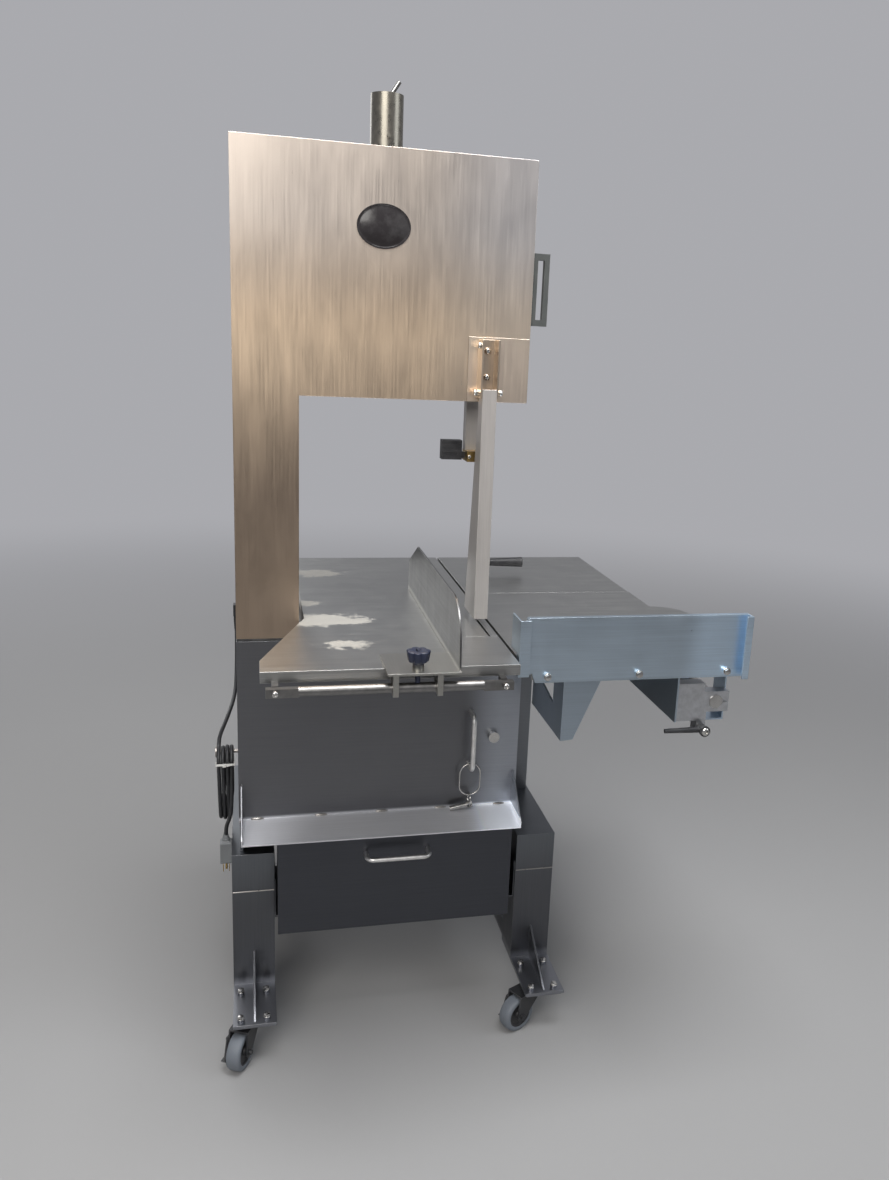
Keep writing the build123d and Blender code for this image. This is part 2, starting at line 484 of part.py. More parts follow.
with BuildPart() as tension_slide:
    block(WHEEL_X - CARRIER_HALF, WHEEL_X + CARRIER_HALF, TENSION_Y - 22, TENSION_Y + 38, UPPER_Z - 45, UPPER_Z + 50)
    rod_y(WHEEL_X, WHEEL_FRONT - 2, TENSION_Y, UPPER_Z, UPPER_AXLE_D / 2)
    rod_y(WHEEL_X, WHEEL_FRONT - 7, WHEEL_FRONT - 2, UPPER_Z, 17)
    rod_y(WHEEL_X, WHEEL_FRONT - 13, WHEEL_FRONT - 7, UPPER_Z, 9)
    rod_y(WHEEL_X, TENSION_Y - 30, TENSION_Y - 20, UPPER_Z, 19)
    rod_z(WHEEL_X, TENSION_Y, UPPER_Z + 14, UPPER_Z + 51, TENSION_SCREW_D / 2 + RUN_FIT, mode=Mode.SUBTRACT)

TUBE_D = 56.0
TUBE_WALL = 3.0
TUBE_H = 97.0
with BuildPart() as tension_tube:
    rod_z(WHEEL_X, TENSION_Y, HEAD_TOP, HEAD_TOP + TUBE_H, TUBE_D / 2)
    rod_z(WHEEL_X, TENSION_Y, HEAD_TOP, HEAD_TOP + 5, TUBE_D / 2 + 4)
    rod_z(WHEEL_X, TENSION_Y, HEAD_TOP + 4, HEAD_TOP + TUBE_H + 1, TUBE_D / 2 - TUBE_WALL, mode=Mode.SUBTRACT)
    rod_z(WHEEL_X, TENSION_Y, HEAD_TOP - 1, HEAD_TOP + 5, TENSION_SCREW_D / 2 + 2, mode=Mode.SUBTRACT)
    rod_y(WHEEL_X, TENSION_Y - TUBE_D / 2 - 5, TENSION_Y - TUBE_D / 2 + 2, HEAD_TOP + 28, 3.5)

SPRING_R = 18.0
SPRING_WIRE = 2.5
SPRING_PITCH = 11.0
SPRING_LOW = HEAD_TOP + 4 + SPRING_WIRE + TOUCH_GAP
SPRING_TURNS = 6.0
with BuildPart() as tension_spring:
    with BuildLine(spot(WHEEL_X, TENSION_Y, SPRING_LOW)) as coil:
        Helix(pitch=SPRING_PITCH, height=SPRING_PITCH * SPRING_TURNS, radius=SPRING_R)
    with BuildSketch(Plane(origin=coil.line @ 0, z_dir=coil.line % 0)):
        Circle(SPRING_WIRE)
    sweep(path=coil.line, is_frenet=True)

CAP_Z = SPRING_LOW + SPRING_PITCH * SPRING_TURNS + SPRING_WIRE + TOUCH_GAP
with BuildPart() as tension_screw:
    rod_z(WHEEL_X, TENSION_Y, UPPER_Z + 18, CAP_Z + 8, TENSION_SCREW_D / 2)
    rod_z(WHEEL_X, TENSION_Y, CAP_Z, CAP_Z + 9, TUBE_D / 2 - TUBE_WALL - 1)
    rod_z(WHEEL_X, TENSION_Y, CAP_Z + 8, CAP_Z + 22, 10)
    with Locations(spot(WHEEL_X + 6, TENSION_Y, CAP_Z + 22, ry=33)):
        Cylinder(4, 52)

with BuildPart() as saw_blade:
    with BuildSketch(seen_from_front(BLADE_FRONT)):
        with Locations((WHEEL_X, (UPPER_Z + LOWER_Z) / 2)):
            SlotCenterToCenter(UPPER_Z - LOWER_Z, 2 * (BLADE_IN_R + BLADE_T), rotation=90)
            SlotCenterToCenter(UPPER_Z - LOWER_Z, 2 * BLADE_IN_R, rotation=90, mode=Mode.SUBTRACT)
    extrude(amount=-BLADE_W)

# ================================================================ drive
PULLEY_FRONT = 216.0
PULLEY_W = 26.0
DRIVEN_R = 80.0
MOTOR_R = 35.0
BELT_T = 8.0


with BuildPart() as drive_shaft:
    rod_y(WHEEL_X, WHEEL_FRONT - 1, PULLEY_FRONT + PULLEY_W + 8, LOWER_Z, DRIVE_SHAFT_D / 2)
    rod_y(WHEEL_X, WHEEL_FRONT - 6, WHEEL_FRONT - 1, LOWER_Z, 20)
    rod_y(WHEEL_X, WHEEL_FRONT - 12, WHEEL_FRONT - 6, LOWER_Z, 9)
    # driven pulley on the back end of the shaft
    rod_y(WHEEL_X, PULLEY_FRONT, PULLEY_FRONT + PULLEY_W, LOWER_Z, DRIVEN_R)
    for y0 in (PULLEY_FRONT, PULLEY_FRONT + PULLEY_W - 4):
        rod_y(WHEEL_X, y0, y0 + 4, LOWER_Z, DRIVEN_R + BELT_T + 1)

with BuildPart() as bearing_housing:
    rod_y(WHEEL_X, 84, 204, LOWER_Z, BEARING_TUBE_D / 2)
    with Locations(spot(WHEEL_X, BULKHEAD_FACE - 6, LOWER_Z)):
        Box(130, 12, 130)
    rod_y(WHEEL_X, 83, 205, LOWER_Z, DRIVE_SHAFT_D / 2 + RUN_FIT, mode=Mode.SUBTRACT)


MOTOR_SHAFT_D = 19.0
with BuildPart() as motor_pulley:
    rod_y(MOTOR_X, PULLEY_FRONT, PULLEY_FRONT + PULLEY_W, MOTOR_Z, MOTOR_R)
    for y0 in (PULLEY_FRONT, PULLEY_FRONT + PULLEY_W - 4):
        rod_y(MOTOR_X, y0, y0 + 4, MOTOR_Z, MOTOR_R + BELT_T + 1)
    rod_y(MOTOR_X, PULLEY_FRONT - 6, CASE_BACK + 14, MOTOR_Z, MOTOR_SHAFT_D / 2)

with BuildPart() as motor:
    rod_y(MOTOR_X, CASE_BACK + 10, HOUSING_BACK - 12, MOTOR_Z, 78)
    rod_y(MOTOR_X, HOUSING_BACK - 40, HOUSING_BACK - 10, MOTOR_Z, 84)
    block(MOTOR_X - 90, MOTOR_X + 90, CASE_BACK + TOUCH_GAP, CASE_BACK + 12, MOTOR_Z - 84, MOTOR_Z + 90)
    for fin in range(18):
        with Locations(spot(MOTOR_X, CASE_BACK + 90, MOTOR_Z, ry=fin * 10)):
            Box(170, 120, 3)
    block(MOTOR_X - 45, MOTOR_X + 45, CASE_BACK + 50, CASE_BACK + 130, MOTOR_Z + 70, MOTOR_Z + 118)
    rod_y(MOTOR_X, CASE_BACK - 1, CASE_BACK + 24, MOTOR_Z, MOTOR_SHAFT_D / 2 + RUN_FIT, mode=Mode.SUBTRACT)

with BuildPart() as drive_belt:
    with BuildSketch(seen_from_front(PULLEY_FRONT + 4 + TOUCH_GAP)) as belt_loop:
        with Locations((WHEEL_X, LOWER_Z)):
            Circle(DRIVEN_R + TOUCH_GAP + BELT_T)
        with Locations((MOTOR_X, MOTOR_Z)):
            Circle(MOTOR_R + TOUCH_GAP + BELT_T)
        make_hull()
    extrude(amount=-(PULLEY_W - 8 - 2 * TOUCH_GAP))
    with BuildSketch(seen_from_front(PULLEY_FRONT + 3)) as belt_hole:
        with Locations((WHEEL_X, LOWER_Z)):
            Circle(DRIVEN_R + TOUCH_GAP)
        with Locations((MOTOR_X, MOTOR_Z)):
            Circle(MOTOR_R + TOUCH_GAP)
        make_hull()
    extrude(amount=-PULLEY_W, mode=Mode.SUBTRACT)

# ================================================================ fixed table and gauge
INSERT_LEFT = 388.0
INSERT_FRONT = -118.0
INSERT_BACK = 100.0
UNDER = TABLE_TOP - TABLE_SHEET
LIP_FOOT = TABLE_TOP - TABLE_LIP
fixed_outline = [(TABLE_LEFT, TABLE_FRONT), (TABLE_SPLIT, TABLE_FRONT), (TABLE_SPLIT, TABLE_BACK),
                 (NOTCH_X, TABLE_BACK), (NOTCH_X, 18), (TABLE_LEFT, -221)]

with BuildPart() as fixed_table:
    flat_plate(fixed_outline, UNDER, TABLE_TOP)
    block(INSERT_LEFT, TABLE_SPLIT + 1, INSERT_FRONT, INSERT_BACK, UNDER - 1, TABLE_TOP + 1, mode=Mode.SUBTRACT)
    block(TABLE_LEFT, TABLE_SPLIT, TABLE_FRONT, TABLE_FRONT + SHEET, LIP_FOOT, UNDER)
    block(TABLE_LEFT, TABLE_LEFT + SHEET, TABLE_FRONT, -221, LIP_FOOT, UNDER)
    block(NOTCH_X, TABLE_SPLIT, TABLE_BACK - SHEET, TABLE_BACK, LIP_FOOT, UNDER)
    block(NOTCH_X, NOTCH_X + SHEET, 18, TABLE_BACK, LIP_FOOT, UNDER)
    block(TABLE_SPLIT - SHEET, TABLE_SPLIT, TABLE_FRONT, INSERT_FRONT - 8, LIP_FOOT, UNDER)
    block(TABLE_SPLIT - SHEET, TABLE_SPLIT, INSERT_BACK + 8, TABLE_BACK, LIP_FOOT, UNDER)
    # ledge that carries the insert
    block(INSERT_LEFT - 10, INSERT_LEFT + 14, INSERT_FRONT - 8, INSERT_BACK + 8, UNDER - 4, UNDER)
    block(INSERT_LEFT, TABLE_SPLIT, INSERT_FRONT - 8, INSERT_FRONT + 14, UNDER - 4, UNDER)
    block(INSERT_LEFT, TABLE_SPLIT, INSERT_BACK - 14, INSERT_BACK + 8, UNDER - 4, UNDER)

with BuildPart() as table_insert:
    block(INSERT_LEFT + TOUCH_GAP, TABLE_SPLIT, INSERT_FRONT + TOUCH_GAP, INSERT_BACK - TOUCH_GAP, UNDER, TABLE_TOP)
    block(BLADE_X - 2, BLADE_X + 2, INSERT_FRONT - 1, BLADE_FRONT + BLADE_W + 8, UNDER - 1, TABLE_TOP + 1,
          mode=Mode.SUBTRACT)

FLAT_LEFT = 94.0
FLAT_RIGHT = 382.0
with BuildPart() as gauge_rail:
    rod_x(FLAT_LEFT, FLAT_RIGHT, RAIL_Y, RAIL_Z, RAIL_D / 2)
    block(RAIL_LEFT, FLAT_LEFT + 1, RAIL_Y - 6, RAIL_Y + 6, RAIL_Z - RAIL_D / 2, RAIL_Z + RAIL_D / 2 - 2)
    block(FLAT_RIGHT - 1, RAIL_RIGHT, RAIL_Y - 6, RAIL_Y + 6, RAIL_Z - RAIL_D / 2, RAIL_Z + RAIL_D / 2 - 2)

    for x in (RAIL_LEFT + 14, RAIL_RIGHT - 14):
        block(x - 5, x + 5, RAIL_Y + 5, TABLE_FRONT, RAIL_Z + 1, RAIL_Z + 8)
        rod_y(x, RAIL_Y - 11, RAIL_Y - 5, RAIL_Z, 5)

GAUGE_FRONT = -313.0
GAUGE_BACK = 226.0
GAUGE_FOOT = TABLE_TOP + 0.6
GAUGE_H = 110.0
with BuildPart() as gauge_plate:
    with BuildSketch(seen_from_right(GAUGE_X - SHEET)):
        with BuildLine():
            Polyline((GAUGE_FRONT, GAUGE_FOOT), (GAUGE_BACK, GAUGE_FOOT), (GAUGE_BACK - 6, GAUGE_FOOT + 62),
                     (120, TABLE_TOP + GAUGE_H), (GAUGE_FRONT + 70, TABLE_TOP + GAUGE_H))
            RadiusArc((GAUGE_FRONT + 70, TABLE_TOP + GAUGE_H), (GAUGE_FRONT + 6, TABLE_TOP + GAUGE_H - 56), -68)
            Line((GAUGE_FRONT + 6, TABLE_TOP + GAUGE_H - 56), (GAUGE_FRONT, GAUGE_FOOT))
        make_face()
    extrude(amount=SHEET)
    block(227, GAUGE_X, RAIL_Y - 18, -215, GAUGE_FOOT, GAUGE_FOOT + 4)
    for x in (240, 309):
        for y0, y1 in ((RAIL_Y - 18, RAIL_Y - RAIL_D / 2 - TOUCH_GAP), (RAIL_Y + RAIL_D / 2 + TOUCH_GAP, -285)):
            block(x - 4.5, x + 4.5, y0, y1, RAIL_Z - 9, GAUGE_FOOT + 1)
    rod_z(GAUGE_KNOB_X, RAIL_Y, GAUGE_FOOT - 1, GAUGE_FOOT + 16, 9)
    rod_z(GAUGE_KNOB_X, RAIL_Y, GAUGE_FOOT - 2, GAUGE_FOOT + 17, 4 + RUN_FIT, mode=Mode.SUBTRACT)

with BuildPart() as gauge_knob:
    rod_z(GAUGE_KNOB_X, RAIL_Y, RAIL_Z + RAIL_D / 2 + TOUCH_GAP, 930, 4)
    rod_z(GAUGE_KNOB_X, RAIL_Y, GAUGE_FOOT + 16 + TOUCH_GAP, 920, 9)
    rod_z(GAUGE_KNOB_X, RAIL_Y, 919, 936, 15)
    for lobe in range(6):
        a = math.radians(lobe * 60)
        rod_z(GAUGE_KNOB_X + 15 * math.cos(a), RAIL_Y + 15 * math.sin(a), 920, 934, 6)

# ================================================================ sliding table
SLIDE_LEFT = TABLE_SPLIT + TABLE_GAP
FLARE_X = 862.0
FLARE_R = 60.0
APRON_Y = -231.0
APRON_FOOT = 849.0
APRON_TOP = 962.0
APRON_RIGHT = 868.0
APRON_LEFT = 470.0
SWING_X = 480.0
SWING_FOOT = CASE_TOP + 4.0
CHANNEL_LEFT = 451.5

with BuildPart() as sliding_table:
    with BuildSketch(seen_from_above(UNDER)):
        with BuildLine():
            Polyline((SLIDE_RIGHT, FLARE_R), (SLIDE_RIGHT, SEAM_Y), (SLIDE_LEFT, SEAM_Y), (SLIDE_LEFT, SLIDE_FRONT),
                     (FLARE_X, SLIDE_FRONT), (FLARE_X, 0))
            RadiusArc((FLARE_X, 0), (SLIDE_RIGHT, FLARE_R), -FLARE_R)
        make_face()
    extrude(amount=TABLE_SHEET)
    block(SLIDE_LEFT, SWING_X, SLIDE_FRONT, SLIDE_FRONT + SHEET, SWING_FOOT, UNDER)
    block(SWING_X, FLARE_X, SLIDE_FRONT, SLIDE_FRONT + SHEET, APRON_FOOT + 4, UNDER)
    block(SLIDE_LEFT, SLIDE_LEFT + SHEET, SLIDE_FRONT, SEAM_Y, LIP_FOOT, UNDER)
    block(FLARE_X - SHEET, FLARE_X, SLIDE_FRONT, 0, LIP_FOOT, UNDER)
    block(SLIDE_RIGHT - SHEET, SLIDE_RIGHT, FLARE_R, SEAM_Y, LIP_FOOT, UNDER)
    # bar that rests on the pads of the body
    block(CASE_W + 3, CASE_W + 13, SLIDE_FRONT + 40, SEAM_Y, CASE_TOP + 4, UNDER)

with BuildPart() as table_extension:
    block(SLIDE_LEFT, SLIDE_RIGHT - 2, SEAM_Y + 1, TABLE_BACK, UNDER, TABLE_TOP)
    block(SLIDE_LEFT, SLIDE_LEFT + SHEET, SEAM_Y + 1, TABLE_BACK, LIP_FOOT, UNDER)
    block(SLIDE_RIGHT - 2 - SHEET, SLIDE_RIGHT - 2, SEAM_Y + 1, TABLE_BACK, LIP_FOOT, UNDER)
    block(SLIDE_LEFT, SLIDE_RIGHT - 2, TABLE_BACK - SHEET, TABLE_BACK, LIP_FOOT, UNDER)
    block(CASE_W + 3, CASE_W + 13, SEAM_Y + 1, TABLE_BACK - 20, CASE_TOP + 4, UNDER)

with BuildPart() as apron:
    # its left end stays above the swing of the lower door
    front_plate([(APRON_LEFT, SWING_FOOT), (SWING_X, SWING_FOOT), (SWING_X + 6, APRON_FOOT),
                 (APRON_RIGHT, APRON_FOOT), (APRON_RIGHT, APRON_TOP), (APRON_LEFT, APRON_TOP)], APRON_Y, SLIDE_FRONT)
    block(APRON_LEFT - SHEET, APRON_LEFT, APRON_Y - 14, SLIDE_FRONT, SWING_FOOT, APRON_TOP)
    block(CHANNEL_LEFT, APRON_LEFT, APRON_Y - 17, APRON_Y - 14, SWING_FOOT, APRON_TOP)
    block(CHANNEL_LEFT, CHANNEL_LEFT + SHEET, APRON_Y - 17, APRON_Y + 36, TABLE_TOP + 5, APRON_TOP)
    block(CHANNEL_LEFT, CHANNEL_LEFT + SHEET, APRON_Y - 17, APRON_Y, SWING_FOOT, APRON_TOP)
    block(APRON_RIGHT - SHEET, APRON_RIGHT, APRON_Y - 14, APRON_Y, APRON_FOOT, APRON_TOP)
    block(APRON_RIGHT - 12, APRON_RIGHT, APRON_Y - 17, APRON_Y - 14, APRON_FOOT, APRON_TOP)
    block(APRON_LEFT, APRON_RIGHT, APRON_Y, APRON_Y + 10, APRON_TOP - SHEET, APRON_TOP)
    for x in (APRON_LEFT + 36, (APRON_LEFT + APRON_RIGHT) / 2, APRON_RIGHT - 36):
        rod_y(x, APRON_Y - 6, APRON_Y, APRON_FOOT + 12, 6.5)

WING_X = CASE_W + 18.0
WING_FRONT = -207.0
WING_FOOT = 732.0
with BuildPart() as wing_bracket:
    front_plate([(WING_X, WING_FOOT), (WING_X + 22, WING_FOOT + 2), (WING_X + 89, UNDER), (WING_X, UNDER)],
                WING_FRONT, WING_FRONT + SHEET)
    side_plate([(WING_FRONT, WING_FOOT), (-20, WING_FOOT), (-20, UNDER), (WING_FRONT, UNDER)],
               WING_X, WING_X + SHEET)
    side_plate([(-55, 800), (-150, 782), (-150, 835), (-55, 835)], WING_X - 1, WING_X + SHEET + 1,
               mode=Mode.SUBTRACT)
    block(WING_X, WING_X + 60, WING_FRONT, -20, UNDER - SHEET, UNDER)

SIDE_BEAM_X = 757.0
BEAM_FOOT = 756.0
COVER_TOP = LIP_FOOT - TOUCH_GAP
FOOT_HALF = 35.0
BLOCK_Y = 24.0
LEVER_X = 809.0
LEVER_Z = 744.0
LEVER_STUD_R = 4.0
with BuildPart() as side_beam:
    block(SIDE_BEAM_X, SIDE_BEAM_X + SHEET, WING_FRONT + 2, SHAFT_BACK, BEAM_FOOT, UNDER)
    block(SIDE_BEAM_X - 26, SIDE_BEAM_X, WING_FRONT + 2, TABLE_BACK - SHEET - 2, UNDER - SHEET, UNDER)
    # end cover beside the shaft
    block(SIDE_BEAM_X, APRON_RIGHT - 2, WING_FRONT + 2, -130, COVER_TOP - SHEET, COVER_TOP)
    block(APRON_RIGHT - 5, APRON_RIGHT - 2, WING_FRONT + 32, -130, BEAM_FOOT - 10, COVER_TOP)
    block(SHAFT_X - 20, APRON_RIGHT - 2, WING_FRONT + 32, -130, BEAM_FOOT - 10, BEAM_FOOT - 7)

with BuildPart() as shaft_blocks:
    for y0 in (SHAFT_FRONT + 2, SHAFT_BACK - 2 - BLOCK_Y):
        block(SIDE_BEAM_X + SHEET, SHAFT_X - 35, y0 - 0, y0 + BLOCK_Y, SHAFT_Z - FOOT_HALF, SHAFT_Z + FOOT_HALF)
        block(SHAFT_X - 35, SHAFT_X - 23, y0, y0 + BLOCK_Y, SHAFT_Z - FOOT_HALF, SHAFT_Z + FOOT_HALF)
        block(SHAFT_X - 24, SHAFT_X + 25, y0, y0 + BLOCK_Y, SHAFT_Z - 19, SHAFT_Z + 19)
        rod_y(SHAFT_X, y0 - 1, y0 + BLOCK_Y + 1, SHAFT_Z, SHAFT_D / 2, mode=Mode.SUBTRACT)
        block(LEVER_X - 9, LEVER_X + 9, y0 + 2, y0 + BLOCK_Y, LEVER_Z - 9, SHAFT_Z - 18)
        rod_y(LEVER_X, y0 + 1, y0 + BLOCK_Y + 1, LEVER_Z, LEVER_STUD_R + RUN_FIT, mode=Mode.SUBTRACT)
        block(SHAFT_X, SHAFT_X + 26, y0 - 1, y0 + BLOCK_Y + 1, SHAFT_Z - 1, SHAFT_Z + 1, mode=Mode.SUBTRACT)

with BuildPart() as carriage_shaft:
    rod_y(SHAFT_X, SHAFT_FRONT, SHAFT_BACK, SHAFT_Z, SHAFT_D / 2)

ARM_FRONT = 222.0
ARM_BACK = 300.0
with BuildPart() as carriage_arm:
    block(CASE_W, SHAFT_X + 28, ARM_FRONT + 10, ARM_BACK - 10, 700, 742)
    block(CASE_W, CASE_W + 5, ARM_FRONT, ARM_BACK, 680, 780)
    block(SHAFT_X - 28, SHAFT_X + 28, ARM_FRONT, ARM_BACK, 742, SHAFT_Z + 24)
    rod_y(SHAFT_X, ARM_FRONT - 1, ARM_BACK + 1, SHAFT_Z, SHAFT_D / 2 + RUN_FIT, mode=Mode.SUBTRACT)
    # plastic pads on the case wall under the sliding table
    for y0 in (40, 250):
        block(CASE_W, CASE_W + 13, y0, y0 + 40, CASE_TOP - 12, CASE_TOP + 4 - TOUCH_GAP)

with BuildPart() as clamp_lever:
    rod_y(LEVER_X, SHAFT_FRONT - 14, SHAFT_FRONT + 4 - TOUCH_GAP, LEVER_Z, 8)
    rod_y(LEVER_X, SHAFT_FRONT - 18, SHAFT_FRONT - 13, LEVER_Z, 10)
    rod_y(LEVER_X, SHAFT_FRONT + 3, SHAFT_FRONT + 20, LEVER_Z, LEVER_STUD_R)
    with Locations(spot(LEVER_X - 36, SHAFT_FRONT - 4, LEVER_Z - 1, ry=-90)):
        Cone(6, 4, 72)

GRIP_Y = 345.0
GRIP_Z = 926.0
POST_X = 505.0
with BuildPart() as stop_lever:
    rod_z(POST_X, GRIP_Y, TABLE_TOP + TOUCH_GAP, GRIP_Z + 8, 9)
    rod_x(POST_X, 540, GRIP_Y, GRIP_Z, 5)
    with Locations(spot(572, GRIP_Y, GRIP_Z, ry=90)):
        Cone(8, 11, 74)

# ================================================================ drawer
DRAWER_HANDLE_X = 300.0
DRAWER_HANDLE_Z = 418.0
with BuildPart() as drawer:
    block(DRAWER_LEFT, DRAWER_RIGHT, DRAWER_FACE, DRAWER_FACE + SHEET, DRAWER_FOOT, DRAWER_TOP)
    block(DRAWER_LEFT + 5, DRAWER_RIGHT - 8, DRAWER_FACE, DRAWER_BACK, DRAWER_FOOT, DRAWER_TOP - 6)
    block(DRAWER_LEFT + 7, DRAWER_RIGHT - 10, DRAWER_FACE + SHEET, DRAWER_BACK - 2, DRAWER_FOOT + 2, DRAWER_TOP + 1,
          mode=Mode.SUBTRACT)
    with BuildLine(seen_from_above(DRAWER_HANDLE_Z - 2)) as grip_line:
        FilletPolyline((DRAWER_HANDLE_X - 61, DRAWER_FACE + 1), (DRAWER_HANDLE_X - 61, DRAWER_FACE - 32),
                       (DRAWER_HANDLE_X + 61, DRAWER_FACE - 32), (DRAWER_HANDLE_X + 61, DRAWER_FACE + 1), radius=14)
    with BuildSketch(Plane(origin=grip_line.line @ 0, z_dir=grip_line.line % 0)):
        Circle(4.5)
    sweep(path=grip_line.line)

# ================================================================ casters
# swivel centre and the way the trailing wheel points, counted from +X
CASTERS = {
    "left_front": (MID_LEFT - SWIVEL_SHIFT, FRONT_CASTER_Y, 245.0),
    "right_front": (MID_RIGHT - SWIVEL_SHIFT, FRONT_CASTER_Y, 207.0),
    "left_rear": (MID_LEFT, REAR_CASTER_Y, 270.0),
    "right_rear": (MID_RIGHT, REAR_CASTER_Y, 270.0),
}
CROWN_Z = 80.0
TOP_PLATE_FOOT = 94.0
AXLE_Z = CASTER_D / 2
AXLE_R = 5.0
FORK_INNER = CASTER_W / 2 + 3
FORK_OUTER = FORK_INNER + 3
LEVER_PIN_ALONG = CASTER_TRAIL + 3
LEVER_PIN_Z = 62.0
LEVER_PIN_R = 3.0


def turned(cx, cy, turn, along, across, z, rx=0):
    a = math.radians(turn)
    x = cx + along * math.cos(a) - across * math.sin(a)
    y = cy + along * math.sin(a) + across * math.cos(a)
    return Location((BODY_LEFT + x, DOOR_FACE + y, z), (0, 0, turn)) * Location((0, 0, 0), (rx, 0, 0))


def turned_plate(cx, cy, turn, points, across0, across1):
    a = math.radians(turn)
    ax, ay = math.cos(a), math.sin(a)
    origin = (BODY_LEFT + cx - across0 * ay, DOOR_FACE + cy + across0 * ax, 0)
    with BuildSketch(Plane(origin=origin, x_dir=(ax, ay, 0), z_dir=(ay, -ax, 0))) as face:
        Polygon(*points, align=None)
    extrude(face.sketch, amount=-(across1 - across0))


def caster_fork(cx, cy, turn, with_pin):
    with BuildPart() as fork:
        rod_z(cx, cy, CROWN_Z, TOP_PLATE_FOOT - TOUCH_GAP, 26)
        turned_plate(cx, cy, turn, [(-14, CROWN_Z), (CASTER_TRAIL + 6, CROWN_Z), (CASTER_TRAIL + 6, CROWN_Z + 4),
                                    (-14, CROWN_Z + 4)], -FORK_OUTER, FORK_OUTER)
        for across0 in (-FORK_OUTER, FORK_INNER):
            turned_plate(cx, cy, turn, [(-14, CROWN_Z + 4), (CASTER_TRAIL + 6, CROWN_Z + 4),
                                        (CASTER_TRAIL + 12, AXLE_Z), (CASTER_TRAIL + 6, AXLE_Z - 10),
                                        (CASTER_TRAIL - 6, AXLE_Z - 10), (CASTER_TRAIL - 16, AXLE_Z + 2)],
                         across0, across0 + 3)
        with Locations(turned(cx, cy, turn, CASTER_TRAIL, 0, AXLE_Z, rx=90)):
            Cylinder(AXLE_R, 2 * FORK_OUTER + 10)
        if with_pin:
            with Locations(turned(cx, cy, turn, LEVER_PIN_ALONG, -FORK_OUTER - 2.5, LEVER_PIN_Z, rx=90)):
                Cylinder(LEVER_PIN_R, 8)
    return fork


def caster_wheel(cx, cy, turn):
    with BuildPart() as wheel:
        with Locations(turned(cx, cy, turn, CASTER_TRAIL, 0, AXLE_Z, rx=90)):
            Cylinder(AXLE_Z, CASTER_W)
            Cylinder(11, CASTER_W + 4)
            Cylinder(AXLE_R + RUN_FIT, CASTER_W + 6, mode=Mode.SUBTRACT)
    return wheel


def brake_lever(cx, cy, turn):
    outside = -FORK_OUTER - TOUCH_GAP
    with BuildPart() as lever:
        turned_plate(cx, cy, turn, [(LEVER_PIN_ALONG - 6, 69), (LEVER_PIN_ALONG + 6, 69), (LEVER_PIN_ALONG + 21, 25),
                                    (LEVER_PIN_ALONG + 16, 19), (LEVER_PIN_ALONG + 9, 25),
                                    (LEVER_PIN_ALONG - 6, 56)], outside - 3, outside)
        turned_plate(cx, cy, turn, [(LEVER_PIN_ALONG + 9, 25), (LEVER_PIN_ALONG + 21, 25),
                                    (LEVER_PIN_ALONG + 16, 19)], outside - 9, outside - 2)
        with Locations(turned(cx, cy, turn, LEVER_PIN_ALONG, outside - 2, LEVER_PIN_Z, rx=90)):
            Cylinder(LEVER_PIN_R + RUN_FIT, 12, mode=Mode.SUBTRACT)
    return lever


FOOT_BOLT_X = 24.5
FOOT_BOLT_Y = 42.0
with BuildPart() as caster_plates:
    for leg_x, plate_y in ((MID_LEFT, FRONT_CASTER_Y), (MID_RIGHT, FRONT_CASTER_Y), (MID_LEFT, REAR_CASTER_Y),
                           (MID_RIGHT, REAR_CASTER_Y)):
        block(leg_x - 37, leg_x + 37, plate_y - 52, plate_y + 52, TOP_PLATE_FOOT, PLATE_Z - PLATE_T)
        for side_x in (-1, 1):
            for side_y in (-1, 1):
                rod_z(leg_x - 2 + side_x * FOOT_BOLT_X, plate_y + side_y * FOOT_BOLT_Y, PLATE_Z, PLATE_Z + 6, 6.5)

# ================================================================ power cord
CORD_R = 4.0
CORD_WALL_X = -6.5
GLAND_Y = 500.0
CORD_ROUTE = [(CORD_WALL_X, GLAND_Y, 770), (CORD_WALL_X, GLAND_Y, 716), (-7, 455, 660), (-9, 380, 625),
              (-20, 275, 607), (-28, 222, HANK_Z + 87.5)]
HANK_X = -28.0
HANK_STEP = 10.5
with BuildPart() as power_cord:
    route = [Vector(BODY_LEFT + x, DOOR_FACE + y, z) for x, y, z in CORD_ROUTE]
    radii = []
    for i in range(1, len(route) - 1):
        before = route[i] - route[i - 1]
        after = route[i + 1] - route[i]
        turn = math.radians(before.get_angle(after))
        radii.append(0.45 * min(before.length, after.length) / math.tan(turn / 2))
    print("cord arc radii", [round(r, 1) for r in radii])
    with BuildLine() as cord_line:
        here = route[0]
        for i, radius in enumerate(radii, start=1):
            before = (route[i] - route[i - 1]).normalized()
            after = (route[i + 1] - route[i]).normalized()
            turn = math.radians(before.get_angle(after))
            cut = radius * math.tan(turn / 2)
            start = route[i] - before * cut
            end = route[i] + after * cut
            Line(here, start)
            TangentArc(start, end, tangent=before)
            here = end
        Line(here, route[-1])
    with BuildSketch(Plane(origin=cord_line.line @ 0, z_dir=cord_line.line % 0)):
        Circle(CORD_R)
    sweep(path=cord_line.line)

with BuildPart() as cord_gland:
    block(CORD_WALL_X - 6.5, 0, GLAND_Y - 11, GLAND_Y + 11, 771, 797)
    rod_z(CORD_WALL_X, GLAND_Y, 764, 772, 6)
    rod_z(CORD_WALL_X, GLAND_Y, 763, 780, CORD_R + TOUCH_GAP, mode=Mode.SUBTRACT)

